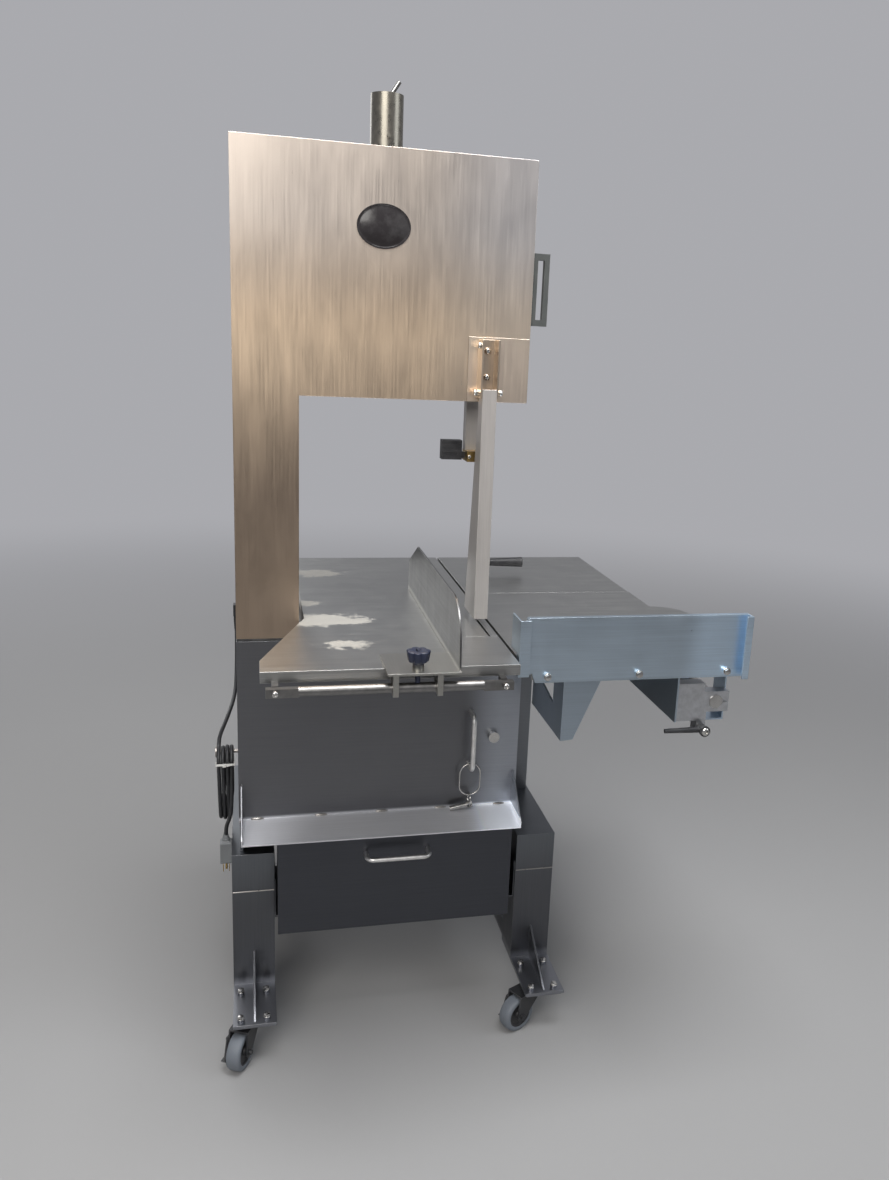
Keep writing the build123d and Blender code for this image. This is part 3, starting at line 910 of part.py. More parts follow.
with BuildPart() as cord_hank:
    for step in (-1, 0, 1):
        x = HANK_X + step * HANK_STEP
        with BuildLine(seen_from_right(x)) as loop:
            l1 = Line((HANK_Y - HANK_R, HANK_Z - HANK_HALF), (HANK_Y - HANK_R, HANK_Z + HANK_HALF))
            l2 = ThreePointArc(l1 @ 1, (HANK_Y, HANK_Z + HANK_HALF + HANK_R), (HANK_Y + HANK_R, HANK_Z + HANK_HALF))
            l3 = Line(l2 @ 1, (HANK_Y + HANK_R, HANK_Z - HANK_HALF))
            l4 = ThreePointArc(l3 @ 1, (HANK_Y, HANK_Z - HANK_HALF - HANK_R), l1 @ 0)
        with BuildSketch(Plane(origin=loop.line @ 0, z_dir=loop.line % 0)):
            Circle(HANK_TUBE)
        sweep(path=loop.line)

PLUG_X = -30.0
PLUG_TOP = 368.0
with BuildPart() as cord_plug:
    block(PLUG_X - 12, PLUG_X + 12, HANK_Y - 14, HANK_Y + 14, PLUG_TOP - 54, PLUG_TOP)
    rod_z(PLUG_X, HANK_Y, PLUG_TOP - 1, HANK_Z - HANK_HALF - HANK_R - HANK_TUBE - TOUCH_GAP, 6)
    for side in (-1, 1):
        block(PLUG_X + side * 6 - 1, PLUG_X + side * 6 + 1, HANK_Y - 3.5, HANK_Y + 3.5, PLUG_TOP - 75, PLUG_TOP - 53)

nodes = {
    "body_frame": body_frame,
    "motor_housing": motor_housing,
    "base_frame": base_frame,
    "upper_door": upper_door,
    "lower_door": lower_door,
    "door_hinge_pins": door_hinge_pins,
    "upper_door_handle": upper_door_handle,
    "door_lock_bolt": door_lock_bolt,
    "start_box": start_box,
    "start_button": start_button,
    "stop_button": stop_button,
    "lanyard_pin": lanyard_pin,
    "guard_bracket": guard_bracket,
    "blade_guard": blade_guard,
    "guide_bar": guide_bar,
    "guide_block": guide_block,
    "scraper_block": scraper_block,
    "guide_lock_knob": guide_lock_knob,
    "upper_wheel": upper_wheel,
    "tension_slide": tension_slide,
    "tension_tube": tension_tube,
    "tension_spring": tension_spring,
    "tension_screw": tension_screw,
    "saw_blade": saw_blade,
    "lower_wheel": lower_wheel,
    "drive_shaft": drive_shaft,
    "bearing_housing": bearing_housing,
    "drive_belt": drive_belt,
    "motor": motor,
    "motor_pulley": motor_pulley,
    "fixed_table": fixed_table,
    "table_insert": table_insert,
    "gauge_rail": gauge_rail,
    "gauge_plate": gauge_plate,
    "gauge_knob": gauge_knob,
    "sliding_table": sliding_table,
    "table_extension": table_extension,
    "apron": apron,
    "wing_bracket": wing_bracket,
    "side_beam": side_beam,
    "shaft_blocks": shaft_blocks,
    "carriage_shaft": carriage_shaft,
    "carriage_arm": carriage_arm,
    "clamp_lever": clamp_lever,
    "stop_lever": stop_lever,
    "drawer": drawer,
    "caster_plates": caster_plates,
    "power_cord": power_cord,
    "cord_gland": cord_gland,
    "cord_hank": cord_hank,
    "cord_plug": cord_plug,
}
with BuildPart() as rear_forks:
    for place in ("left_rear", "right_rear"):
        add(caster_fork(*CASTERS[place], with_pin=False).part)
nodes["rear_caster_forks"] = rear_forks
for place, stand in CASTERS.items():
    nodes["caster_wheel_" + place] = caster_wheel(*stand)
    if place.endswith("front"):
        nodes["caster_fork_" + place] = caster_fork(*stand, with_pin=True)
        nodes["brake_lever_" + place] = brake_lever(*stand)

for name, piece in nodes.items():
    piece.part.label = name
    export_step(piece.part, f"parts/{name}.step")
    print(name, len(piece.part.solids()), round(piece.part.volume / 1000, 1))
boxes = [piece.part.bounding_box() for piece in nodes.values()]
solid_boxes = [piece.part.bounding_box() for name, piece in nodes.items() if "cord" not in name]
print("without cord x", min(b.min.X for b in solid_boxes), max(b.max.X for b in solid_boxes))
print("x", min(b.min.X for b in boxes), max(b.max.X for b in boxes))
print("y", min(b.min.Y for b in boxes), max(b.max.Y for b in boxes))
print("z", min(b.min.Z for b in boxes), max(b.max.Z for b in boxes), len(nodes))
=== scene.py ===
import json
import math

import bmesh
import bpy
from mathutils import Matrix, Vector


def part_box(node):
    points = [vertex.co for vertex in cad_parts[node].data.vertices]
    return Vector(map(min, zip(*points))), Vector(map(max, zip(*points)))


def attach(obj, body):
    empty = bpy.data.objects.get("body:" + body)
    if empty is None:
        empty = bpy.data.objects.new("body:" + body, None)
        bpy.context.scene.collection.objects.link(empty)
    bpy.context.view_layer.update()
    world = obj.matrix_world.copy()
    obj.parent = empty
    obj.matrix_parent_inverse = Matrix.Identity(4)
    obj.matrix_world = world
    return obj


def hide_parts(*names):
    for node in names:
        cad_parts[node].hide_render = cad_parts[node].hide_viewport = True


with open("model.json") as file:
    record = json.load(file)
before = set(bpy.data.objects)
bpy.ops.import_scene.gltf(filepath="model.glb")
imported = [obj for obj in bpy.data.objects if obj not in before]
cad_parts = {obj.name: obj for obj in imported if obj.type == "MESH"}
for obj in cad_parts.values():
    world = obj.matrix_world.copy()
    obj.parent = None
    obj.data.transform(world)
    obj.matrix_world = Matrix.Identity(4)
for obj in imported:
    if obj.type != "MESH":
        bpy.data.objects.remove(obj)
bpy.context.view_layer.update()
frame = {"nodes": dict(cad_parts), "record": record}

bl_info = {
    "name": "Bone Saw",
    "version": (1, 0, 0),
    "blender": (4, 5, 0),
    "location": "View3D > Sidebar > Bone Saw",
    "description": "Finishes, cord, fittings and stage for a floor-standing bone saw",
    "category": "Object",
}

NODES = frame["nodes"]
SLOT_OF = {part["node"]: part["material_slot"] for part in frame["record"]["subparts"]}

# The corner that machine sizes are taken from: left side, door face and floor.
CORNER = Vector((-0.41025, -0.1685, 0.0))
ORIGIN = Vector((0, 0, 0))
FRONT, LEFT, RIGHT, UP, DOWN = (0, -1, 0), (-1, 0, 0), (1, 0, 0), (0, 0, 1), (0, 0, -1)
MERGE_GAP = 0.00001


def spot(x, y, z):
    """A point given in millimetres from the left side, the door face and the floor."""
    return CORNER + Vector((x, y, z)) * 0.001


# The finishes by name, filled by the operator that makes them.
FINISHES = {}


# ------------------------------------------------------------------ modelling helpers

def object_mode():
    """Leaves edit mode and clears the selection."""
    if bpy.context.mode != "OBJECT":
        bpy.ops.object.mode_set(mode="OBJECT")
    bpy.ops.object.select_all(action="DESELECT")


def make_active(piece):
    """Selects one piece alone."""
    object_mode()
    piece.select_set(True)
    bpy.context.view_layer.objects.active = piece


def edit(piece, kind="FACE"):
    """Opens a piece in edit mode with nothing selected."""
    make_active(piece)
    bpy.ops.object.mode_set(mode="EDIT")
    bpy.ops.mesh.select_mode(type=kind)
    bpy.ops.mesh.select_all(action="DESELECT")


def pick_faces(piece, test):
    """Selects the faces for which test(centre, normal) holds."""
    mesh = bmesh.from_edit_mesh(piece.data)
    mesh.faces.ensure_lookup_table()
    for face in mesh.faces:
        face.select_set(bool(test(face.calc_center_median(), face.normal)))
    mesh.select_flush_mode()
    bmesh.update_edit_mesh(piece.data)


def add_block(low, high):
    """A box between two corners, its place in its mesh."""
    object_mode()
    middle = (low + high) / 2
    bpy.ops.mesh.primitive_cube_add(size=1, location=middle)
    block = bpy.context.active_object
    block.scale = high - low
    bpy.ops.object.transform_apply(location=True, rotation=True, scale=True)
    return block


def add_rod(start, end, radius, sides=24):
    """A round rod between two points, its place in its mesh."""
    object_mode()
    along = end - start
    turn = along.to_track_quat("Z", "Y").to_euler()
    bpy.ops.mesh.primitive_cylinder_add(
        vertices=sides, radius=radius, depth=along.length, location=(start + end) / 2, rotation=turn
    )
    bpy.ops.object.transform_apply(location=True, rotation=True, scale=True)
    return bpy.context.active_object


def laid(piece, centre, axis):
    """Turns a piece made upright at the origin along an axis and moves it to its centre."""
    turn = Vector(UP).rotation_difference(Vector(axis)).to_matrix().to_4x4()
    piece.data.transform(Matrix.Translation(centre) @ turn)
    return piece


def turned(profile, centre, axis, steps=32):
    """A turned piece: profile holds (radius, height) pairs along the axis from its bottom to its top."""
    object_mode()
    bpy.ops.mesh.primitive_plane_add(size=0.01)
    piece = bpy.context.active_object
    bpy.ops.object.mode_set(mode="EDIT")
    bpy.ops.mesh.select_all(action="SELECT")
    bpy.ops.mesh.delete(type="VERT")
    mesh = bmesh.from_edit_mesh(piece.data)
    line = [mesh.verts.new((radius, 0.0, height)) for radius, height in profile]
    for first, second in zip(line, line[1:]):
        mesh.edges.new((first, second))
    bmesh.update_edit_mesh(piece.data)
    bpy.ops.mesh.select_all(action="SELECT")
    bpy.ops.mesh.spin(steps=steps, angle=2 * math.pi, center=(0, 0, 0), axis=(0, 0, 1))
    bpy.ops.mesh.select_all(action="SELECT")
    bpy.ops.mesh.remove_doubles(threshold=MERGE_GAP)
    bpy.ops.mesh.normals_make_consistent(inside=False)
    object_mode()
    return laid(piece, centre, axis)


def bevel(piece, width, segments=2, angle=40):
    """Rounds the sharp edges of a piece."""
    make_active(piece)
    rounding = piece.modifiers.new("rounded edges", "BEVEL")
    rounding.width = width
    rounding.segments = segments
    rounding.limit_method = "ANGLE"
    rounding.angle_limit = math.radians(angle)
    bpy.ops.object.modifier_apply(modifier=rounding.name)


def smooth(piece, angle=35):
    """Shades a piece smooth up to an edge angle."""
    make_active(piece)
    bpy.ops.object.shade_smooth_by_angle(angle=math.radians(angle))


def copy_moved(piece, change):
    """A copy of a piece with its own mesh, moved by a matrix."""
    twin = piece.copy()
    twin.data = piece.data.copy()
    bpy.context.scene.collection.objects.link(twin)
    twin.data.transform(change)
    return twin


def join(pieces):
    """Joins pieces into the first one."""
    object_mode()
    for piece in pieces:
        piece.select_set(True)
    bpy.context.view_layer.objects.active = pieces[0]
    bpy.ops.object.join()
    return bpy.context.active_object


def hex_head(centre, axis, across=0.010, high=0.0042):
    """A hexagon bolt head on a thin washer."""
    object_mode()
    bpy.ops.mesh.primitive_cylinder_add(
        vertices=6, radius=across / math.sqrt(3), depth=high, location=(0, 0, 0.001 + high / 2)
    )
    head = bpy.context.active_object
    bpy.ops.object.transform_apply(location=True, rotation=True, scale=True)
    bevel(head, 0.0005, 2, 30)
    wide = across * 0.66
    washer = turned(
        [(0.0, 0.0), (wide, 0.0), (wide, 0.0008), (wide - 0.0003, 0.0011), (0.0, 0.0011)], ORIGIN, UP
    )
    head = join([head, washer])
    smooth(head, 30)
    return laid(head, centre, axis)


def button_head(centre, axis, radius=0.005):
    """A domed screw head with a round drive."""
    head = turned(
        [(0.0, 0.0), (radius, 0.0), (radius * 0.98, radius * 0.14), (radius * 0.86, radius * 0.38),
         (radius * 0.62, radius * 0.54), (radius * 0.44, radius * 0.58), (radius * 0.40, radius * 0.22),
         (0.0, radius * 0.20)],
        ORIGIN, UP,
    )
    smooth(head, 40)
    return laid(head, centre, axis)


# how long a curve handle is, as a share of the radius, for a quarter circle
ARC_HANDLE = 0.5523


def bent_pull(corners, bend, radius):
    """A round bar bent twice: corners holds its two ends and its two bends in order."""
    object_mode()
    bpy.ops.curve.primitive_bezier_curve_add(enter_editmode=False)
    bar = bpy.context.active_object
    bar.location = (0, 0, 0)
    line = bar.data.splines[0]
    line.bezier_points.add(4)
    first, second, third, fourth = corners
    out = (second - first).normalized()
    along = (third - second).normalized()
    places = [
        first, second - out * bend, second + along * bend, third - along * bend, third - out * bend, fourth,
    ]
    ways = [out, out, along, along, -out, -out]
    for point, place, way in zip(line.bezier_points, places, ways):
        point.handle_left_type = point.handle_right_type = "FREE"
        point.co = place
        point.handle_left = place - way * bend * ARC_HANDLE
        point.handle_right = place + way * bend * ARC_HANDLE
    bar.data.resolution_u = 10
    bar.data.bevel_depth = radius
    bar.data.bevel_resolution = 6
    bar.data.use_fill_caps = True
    make_active(bar)
    bpy.ops.object.convert(target="MESH")
    bar = bpy.context.active_object
    smooth(bar, 50)
    return bar


def keep(piece, name, body, slot, finish=None, stands_for=()):
    """Names a finished piece, gives it its finish and hangs it on its body.

    The finish is the one named after the slot, unless another is named."""
    object_mode()
    piece.name = name
    piece.data.name = name
    piece.data.materials.clear()
    piece.data.materials.append(FINISHES[finish or slot])
    if stands_for:
        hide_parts(*stands_for)
    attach(piece, body)
    return piece


# ------------------------------------------------------------------ finish helpers

def feed(socket, value):
    """Gives a node's input another node's output, a number, a vector or a colour of three numbers."""
    if isinstance(value, bpy.types.NodeSocket):
        socket.id_data.links.new(value, socket)
    elif socket.type == "RGBA":
        socket.default_value = (*value, 1.0)
    else:
        socket.default_value = value


def add_node(tree, kind, inputs=None, **settings):
    """Adds a node with its settings, and feeds the inputs given by name or by number."""
    node = tree.nodes.new(kind)
    for key, value in settings.items():
        setattr(node, key, value)
    for key, value in (inputs or {}).items():
        feed(node.inputs[key], value)
    return node


def new_finish(name):
    """A new node material, its tree and the inputs of its shader."""
    finish = bpy.data.materials.new(name)
    finish.use_nodes = True
    return finish, finish.node_tree, finish.node_tree.nodes["Principled BSDF"].inputs


def object_place(tree):
    """Object coordinates."""
    return add_node(tree, "ShaderNodeTexCoord").outputs["Object"]


def noise(tree, scale, detail, roughness, stretch=(1.0, 1.0, 1.0)):
    """A noise pattern over the object, stretched along the axes."""
    where = add_node(tree, "ShaderNodeMapping", {"Scale": stretch, "Vector": object_place(tree)})
    return add_node(tree, "ShaderNodeTexNoise", {
        "Scale": scale, "Detail": detail, "Roughness": roughness, "Vector": where.outputs["Vector"],
    }).outputs["Fac"]


def edge_turn(tree, radius):
    """The rounded normal of nearby edges, and how much it agrees with the face's own."""
    corner = add_node(tree, "ShaderNodeBevel", {"Radius": radius}, samples=4).outputs["Normal"]
    flat = add_node(tree, "ShaderNodeNewGeometry").outputs["Normal"]
    agreement = add_node(tree, "ShaderNodeVectorMath", {0: corner, 1: flat}, operation="DOT_PRODUCT")
    return corner, agreement.outputs["Value"]


def remap(tree, value, low, high, new_low, new_high, course="LINEAR"):
    """A value carried from one range into another."""
    return add_node(tree, "ShaderNodeMapRange", {
        "Value": value, "From Min": low, "From Max": high, "To Min": new_low, "To Max": new_high,
    }, interpolation_type=course).outputs["Result"]


def calculate(tree, operation, first, second):
    """The result of an operation on two values."""
    return add_node(tree, "ShaderNodeMath", {0: first, 1: second}, operation=operation).outputs[0]


def blend_colours(tree, factor, first, second, kind="MIX"):
    """Two colours blended by a value."""
    inputs = {"Factor": factor, 6: first, 7: second}
    return add_node(tree, "ShaderNodeMix", inputs, data_type="RGBA", blend_type=kind).outputs[2]


def spread(tree, pattern, low, high, middle):
    """A value raised and lowered by a pattern."""
    return calculate(tree, "ADD", remap(tree, pattern, 0.3, 0.7, low, high), middle)


def relief(tree, shader, height, strength, distance):
    """A small relief on the surface."""
    bump = add_node(tree, "ShaderNodeBump", {"Strength": strength, "Distance": distance, "Height": height})
    feed(shader["Normal"], bump.outputs["Normal"])
    return bump


GRAIN = {
    "upright": (260.0, 260.0, 3.0),
    "across": (3.0, 260.0, 260.0),
    "inward": (260.0, 3.0, 260.0),
}


def brushed_steel(name, colour, roughness, grain, worn=0.12, painted_light_zones=(), edges=0.45, scrubbed=None):
    """Sheet steel with a fine grain, cloudy rubbing marks, zones of painted light and painted shade, and
    brighter edges that are partly edge wear and partly painted highlight.

    Each painted light zone is an axis, the places in metres where it starts and is full, and its tint, which
    lightens or darkens the colour there.
    A scrubbed zone, given by an axis and two places, is duller metal."""
    finish, tree, shader = new_finish(name)
    lines = noise(tree, 2.4, 4.0, 0.6, GRAIN[grain])
    clouds = noise(tree, 3.0, 3.0, 0.5, (1.0, 1.0, 0.6))
    smears = noise(tree, 14.0, 3.0, 0.6, (2.0, 2.0, 0.7))
    dark = tuple(part * (1.0 - worn) for part in colour)
    light = tuple(min(1.0, part * (1.0 + worn * 0.55)) for part in colour)
    base = blend_colours(tree, remap(tree, lines, 0.3, 0.7, 0.0, 1.0), dark, light)
    cloud = remap(tree, clouds, 0.35, 0.7, 0.0, 1.0)
    base = blend_colours(tree, cloud, base, (0.95, 0.95, 0.96), "MULTIPLY")
    place = add_node(tree, "ShaderNodeSeparateXYZ", {0: object_place(tree)})

    def zone(axis, start, full):
        return remap(tree, place.outputs[axis], start, full, 0.0, 1.0, "SMOOTHSTEP")

    # painted light and painted shade: each zone's tint multiplies the steel's colour lighter or darker
    for axis, start, full, tint in painted_light_zones:
        base = blend_colours(tree, zone(axis, start, full), base, tint, "MULTIPLY")
    feed(shader["Metallic"], remap(tree, zone(*scrubbed), 0.0, 1.0, 1.0, 0.5) if scrubbed else 1.0)
    # Brighter edges: partly edge wear, partly painted highlight.
    corner, agreement = edge_turn(tree, 0.0012)
    edge = remap(tree, agreement, 1.0, 0.88, 0.0, edges)
    bright = tuple(min(0.95, part * 1.25 + 0.08) for part in colour)
    feed(shader["Base Color"], blend_colours(tree, edge, base, bright))
    rough = spread(tree, lines, -0.05, 0.05, roughness)
    feed(shader["Roughness"], calculate(tree, "ADD", rough, remap(tree, smears, 0.35, 0.7, -0.02, 0.04)))
    feed(relief(tree, shader, lines, 0.18, 0.0001).inputs["Normal"], corner)
    return finish


# pale smears on the fixed table: from the left, from the door face, and how far each reaches, in millimetres
SMEARS = ((161.0, 370.0, 62.0), (150.0, 5.0, 84.0), (181.0, -146.0, 46.0), (120.0, 120.0, 40.0))
# how much further a smear reaches across than to the back
SMEAR_WIDTH = 1.668


def worn_table(name, colour, roughness):
    """A table top: brushed and scrubbed, with pale dried smears."""
    finish = brushed_steel(name, colour, roughness, "across", 0.16)
    tree = finish.node_tree
    shader = tree.nodes["Principled BSDF"].inputs
    wet = noise(tree, 34.0, 5.0, 0.65)
    marks = None
    for x, y, radius in SMEARS:
        place = spot(x, y, 0)
        across = 1000.0 / radius
        along = across * SMEAR_WIDTH
        middle = add_node(tree, "ShaderNodeMapping", {
            "Location": (-place.x * across, -place.y * along, 0.0), "Scale": (across, along, 0.0),
            "Vector": object_place(tree),
        })
        length = add_node(tree, "ShaderNodeVectorMath", {0: middle.outputs["Vector"]}, operation="LENGTH")
        mark = remap(tree, spread(tree, wet, -0.45, 0.55, length.outputs["Value"]), 0.75, 1.0, 1.0, 0.0)
        marks = mark if marks is None else calculate(tree, "MAXIMUM", marks, mark)
    base, rough = (shader[key].links[0].from_socket for key in ("Base Color", "Roughness"))
    film = calculate(tree, "MULTIPLY", marks, 0.55)
    feed(shader["Base Color"], blend_colours(tree, film, base, (0.66, 0.63, 0.56)))
    feed(shader["Roughness"], calculate(tree, "ADD", rough, calculate(tree, "MULTIPLY", marks, 0.25)))
    feed(shader["Metallic"], remap(tree, marks, 0.0, 1.0, 1.0, 0.55))
    return finish


def bright_metal(name, colour, roughness, spots=0.06):
    """Turned or polished metal with faint handling marks."""
    finish, tree, shader = new_finish(name)
    marks = noise(tree, 90.0, 4.0, 0.6)
    fine = noise(tree, 1.0, 2.0, 0.5, (60.0, 60.0, 900.0))
    dark = tuple(part * 0.82 for part in colour)
    feed(shader["Metallic"], 1.0)
    feed(shader["Base Color"], blend_colours(tree, remap(tree, marks, 0.35, 0.65, 0.0, 1.0), dark, colour))
    feed(shader["Roughness"], spread(tree, marks, -spots, spots, roughness))
    relief(tree, shader, fine, 0.08, 0.00005)
    return finish


def moulded(name, colour, roughness, grain=0.25):
    """Moulded plastic with a fine texture and dusty patches."""
    finish, tree, shader = new_finish(name)
    dust = noise(tree, 45.0, 4.0, 0.6)
    pale = tuple(part * 0.85 + 0.035 for part in colour)
    feed(shader["Base Color"], blend_colours(tree, remap(tree, dust, 0.45, 0.75, 0.0, 0.8), colour, pale))
    feed(shader["Roughness"], spread(tree, dust, -0.06, 0.1, roughness))
    relief(tree, shader, noise(tree, 900.0, 2.0, 0.5), grain, 0.0001)
    return finish


def painted(name, colour, roughness, chips=0.5):
    """Paint over metal with an orange-peel skin and worn corners."""
    finish, tree, shader = new_finish(name)
    dust = noise(tree, 28.0, 4.0, 0.6)
    edge = remap(tree, edge_turn(tree, 0.0014)[1], 0.97, 0.85, 0.0, chips)
    worn = calculate(tree, "MULTIPLY", edge, remap(tree, dust, 0.4, 0.6, 0.0, 1.0))
    dusty = tuple(part * 0.8 + 0.03 for part in colour)
    base = blend_colours(tree, remap(tree, dust, 0.4, 0.75, 0.0, 0.8), colour, dusty)
    feed(shader["Base Color"], blend_colours(tree, worn, base, (0.34, 0.34, 0.35)))
    feed(shader["Roughness"], spread(tree, dust, -0.05, 0.12, roughness))
    relief(tree, shader, noise(tree, 320.0, 2.0, 0.5), 0.18, 0.0002)
    return finish


def rubber(name, colour, roughness, scuffed=0.5):
    """Rubber with a dull skin and dust in its scuffs."""
    finish, tree, shader = new_finish(name)
    scuff = noise(tree, 70.0, 5.0, 0.65)
    pale = tuple(part * 0.7 + 0.07 for part in colour)
    feed(shader["Base Color"], blend_colours(tree, remap(tree, scuff, 0.45, 0.7, 0.0, scuffed), colour, pale))
    feed(shader["Roughness"], spread(tree, scuff, -0.08, 0.1, roughness))
    relief(tree, shader, noise(tree, 420.0, 3.0, 0.6), 0.35, 0.00015)
    return finish


# ------------------------------------------------------------------ settings

def colour_setting(name, description, default):
    """A colour shown in the panel."""
    return bpy.props.FloatVectorProperty(
        name=name, description=description, subtype="COLOR", size=3, min=0.0, max=1.0, default=default
    )


def length_setting(name, description, default):
    """A length shown in the panel."""
    return bpy.props.FloatProperty(
        name=name, description=description, unit="LENGTH", min=0.0, default=default
    )


class BoneSawColours(bpy.types.PropertyGroup):
    """Colours of the finishes."""

    door_steel: colour_setting("Door steel", "Warm brushed steel of the upper door", (0.664, 0.581, 0.506))
    # The case, leg and drawer steel are one steel, darkened here as painted shade.
    case_steel_painted_shade: colour_setting("Case steel", "Steel of the lower door and housing", (0.155, 0.157, 0.166))
    leg_steel_painted_shade: colour_setting("Leg steel", "Darker brushed steel of the legs", (0.11, 0.113, 0.122))
    drawer_steel_painted_shade: colour_setting("Drawer steel", "Dark brushed steel of the drawer", (0.075, 0.078, 0.088))
    # The bluish tint of this steel is painted cool light.
    steel_painted_cool_light: colour_setting("Cool steel", "Bluish steel of the apron, wing and arm", (0.50, 0.59, 0.67))
    bright_steel: colour_setting("Bright steel", "Brushed steel of the small fittings", (0.92, 0.87, 0.81))
    table_steel: colour_setting("Table steel", "Scrubbed steel of the tables", (0.40, 0.40, 0.39))
    brass: colour_setting("Brass", "Brass of the blade guide block", (0.62, 0.43, 0.17))
    grip: colour_setting("Grip", "Black plastic of grips and levers", (0.022, 0.022, 0.025))
    knob: colour_setting("Knob", "Slate plastic of the star knob", (0.013, 0.018, 0.042))
    tread: colour_setting("Tread", "Grey rubber of the castor wheels", (0.16, 0.18, 0.21))
    flex: colour_setting("Cord", "Sheath of the mains lead", (0.018, 0.019, 0.022))
    floor: colour_setting("Floor", "Plain pale floor", (0.36, 0.36, 0.365))
    backdrop: colour_setting("Backdrop", "Plain pale surroundings", (0.40, 0.402, 0.425))


class BoneSawSizes(bpy.types.PropertyGroup):
    """Sizes of the fittings made here."""

    cord_diameter: length_setting("Cord diameter", "Outside diameter of the mains lead", 0.008)
    tooth_pitch: length_setting("Tooth pitch", "Distance between blade teeth", 0.008)
    tooth_depth: length_setting("Tooth depth", "Height of a blade tooth", 0.0024)
    plate_width: length_setting("Plate width", "Width of the blank oval plate on the door", 0.090)
    plate_height: length_setting("Plate height", "Height of the blank oval plate on the door", 0.071)
    weld_size: length_setting("Weld size", "Width of a weld bead", 0.0045)


def colours():
    """The scene's colours."""
    return bpy.context.scene.bone_saw_colours


def sizes():
    """The scene's sizes."""
    return bpy.context.scene.bone_saw_sizes


# ------------------------------------------------------------------ operators

CAMERA_PLACE = (-0.38244, -1.94404, 1.40922)
# yaw to the right, pitch up and roll, in radians
CAMERA_TURN = (0.251832, -0.244851, 0.050711)
# focal length in millimetres on a sensor 36 mm wide, and the lens's sideways shift
CAMERA_LENS = 30.94
CAMERA_SHIFT = -0.0508


class BONESAW_OT_camera(bpy.types.Operator):
    """Adds the camera at its standing height in front of the machine"""

    bl_idname = "bonesaw.camera"
    bl_label = "Camera"

    def execute(self, context):
        object_mode()
        bpy.ops.object.camera_add()
        camera = context.active_object
        camera.name = "view_camera"
        camera.data.sensor_width = 36.0
        camera.data.lens = CAMERA_LENS
        camera.data.shift_x = CAMERA_SHIFT
        camera.data.clip_end = 60.0
        yaw, pitch, roll = CAMERA_TURN
        turn = Matrix.Rotation(-yaw, 4, "Z") @ Matrix.Rotation(math.pi / 2 + pitch, 4, "X")
        camera.matrix_world = Matrix.Translation(CAMERA_PLACE) @ turn @ Matrix.Rotation(roll, 4, "Z")
        context.scene.camera = camera
        return {"FINISHED"}


# The mains lead, in millimetres from the left side, the door face and the floor: down from its gland and
# along the housing to the hank, the hank's turns round a peg, and the tail that drops into the plug.
GLAND_FOOT = (-6.5, 500, 764)
LEAD_RUN = [
    (-6.5, 500, 770), (-6.5, 500, 716), (-7, 455, 660), (-9, 380, 625), (-26, 285, 606), (-40, 240, 587),
]
LEAD_TAIL = [(-17, 190, 446), (-21, 197, 424), (-27, 207, 406), (-30, 214, 388), (-30, 215, 356)]
HANK_Y, HANK_Z = 215.0, 497.0
HANK_HALF_LENGTH = 50.0
HANK_BEND = 28.0
# each turn's distance from the left side, how far its foot sags, and how much wider it lies
HANK_TURNS = ((-40.6, 0.0, 0.0), (-32.2, 3.5, -1.0), (-23.8, -2.0, 0.6), (-15.4, 1.5, 0.0))


def hank_points():
    """The hank's turns: over the top, down the front, round the foot and up the back to the next one."""
    points = []
    last = len(HANK_TURNS) - 1
    for turn, (here, slack, wide) in enumerate(HANK_TURNS):
        after = HANK_TURNS[min(turn + 1, last)][0]
        for step in range(6 if turn == last else 12):
            angle = math.radians(75 + 30 * step)
            bend = HANK_BEND + wide
            end = HANK_HALF_LENGTH if step < 6 else -HANK_HALF_LENGTH - slack
            across = here + (after - here) * max(0.0, (step - 5) / 6.0)
            points.append((across, HANK_Y + bend * math.cos(angle), HANK_Z + end + bend * math.sin(angle)))
    return points


def strain_relief():
    """The ribbed boot under the gland."""
    boot = turned(
        [(0.0, 0.0), (0.0061, 0.0), (0.0061, 0.004), (0.0056, 0.005), (0.0059, 0.006), (0.0059, 0.009),
         (0.0053, 0.010), (0.0056, 0.011), (0.0056, 0.014), (0.0050, 0.015), (0.0053, 0.016), (0.0053, 0.019),
         (0.0048, 0.020), (0.0050, 0.021), (0.0050, 0.024), (0.0046, 0.025), (0.0044, 0.030), (0.0, 0.030)],
        spot(*GLAND_FOOT), DOWN,
    )
    bevel(boot, 0.0004)
    smooth(boot)
    return keep(boot, "strain_relief", "machine", "black_plastic")


def cord_tie():
    """The white tie round the hank, with its head and loose end."""
    tie = add_block(spot(-46.6, 181.5, 545.6), spot(-9.4, 194.5, 550.4))
    edit(tie)
    pick_faces(tie, lambda centre, normal: abs(normal.z) > 0.9)
    bpy.ops.mesh.inset(thickness=0.0012)
    bpy.ops.mesh.bridge_edge_loops()
    object_mode()
    bevel(tie, 0.0004)
    head = add_block(spot(-33.0, 176.5, 544.8), spot(-26.0, 181.8, 551.2))
    bevel(head, 0.0008)
    strap = add_block(spot(-25.0, 176.8, 546.2), spot(-14.0, 178.0, 549.8))
    edit(strap)
    pick_faces(strap, lambda centre, normal: normal.x > 0.9)
    bpy.ops.transform.translate(value=(0.0, -0.003, 0.004))
    tie = join([tie, head, strap])
    smooth(tie)
    return keep(tie, "cord_tie", "machine", "box_plastic", "white_plastic")


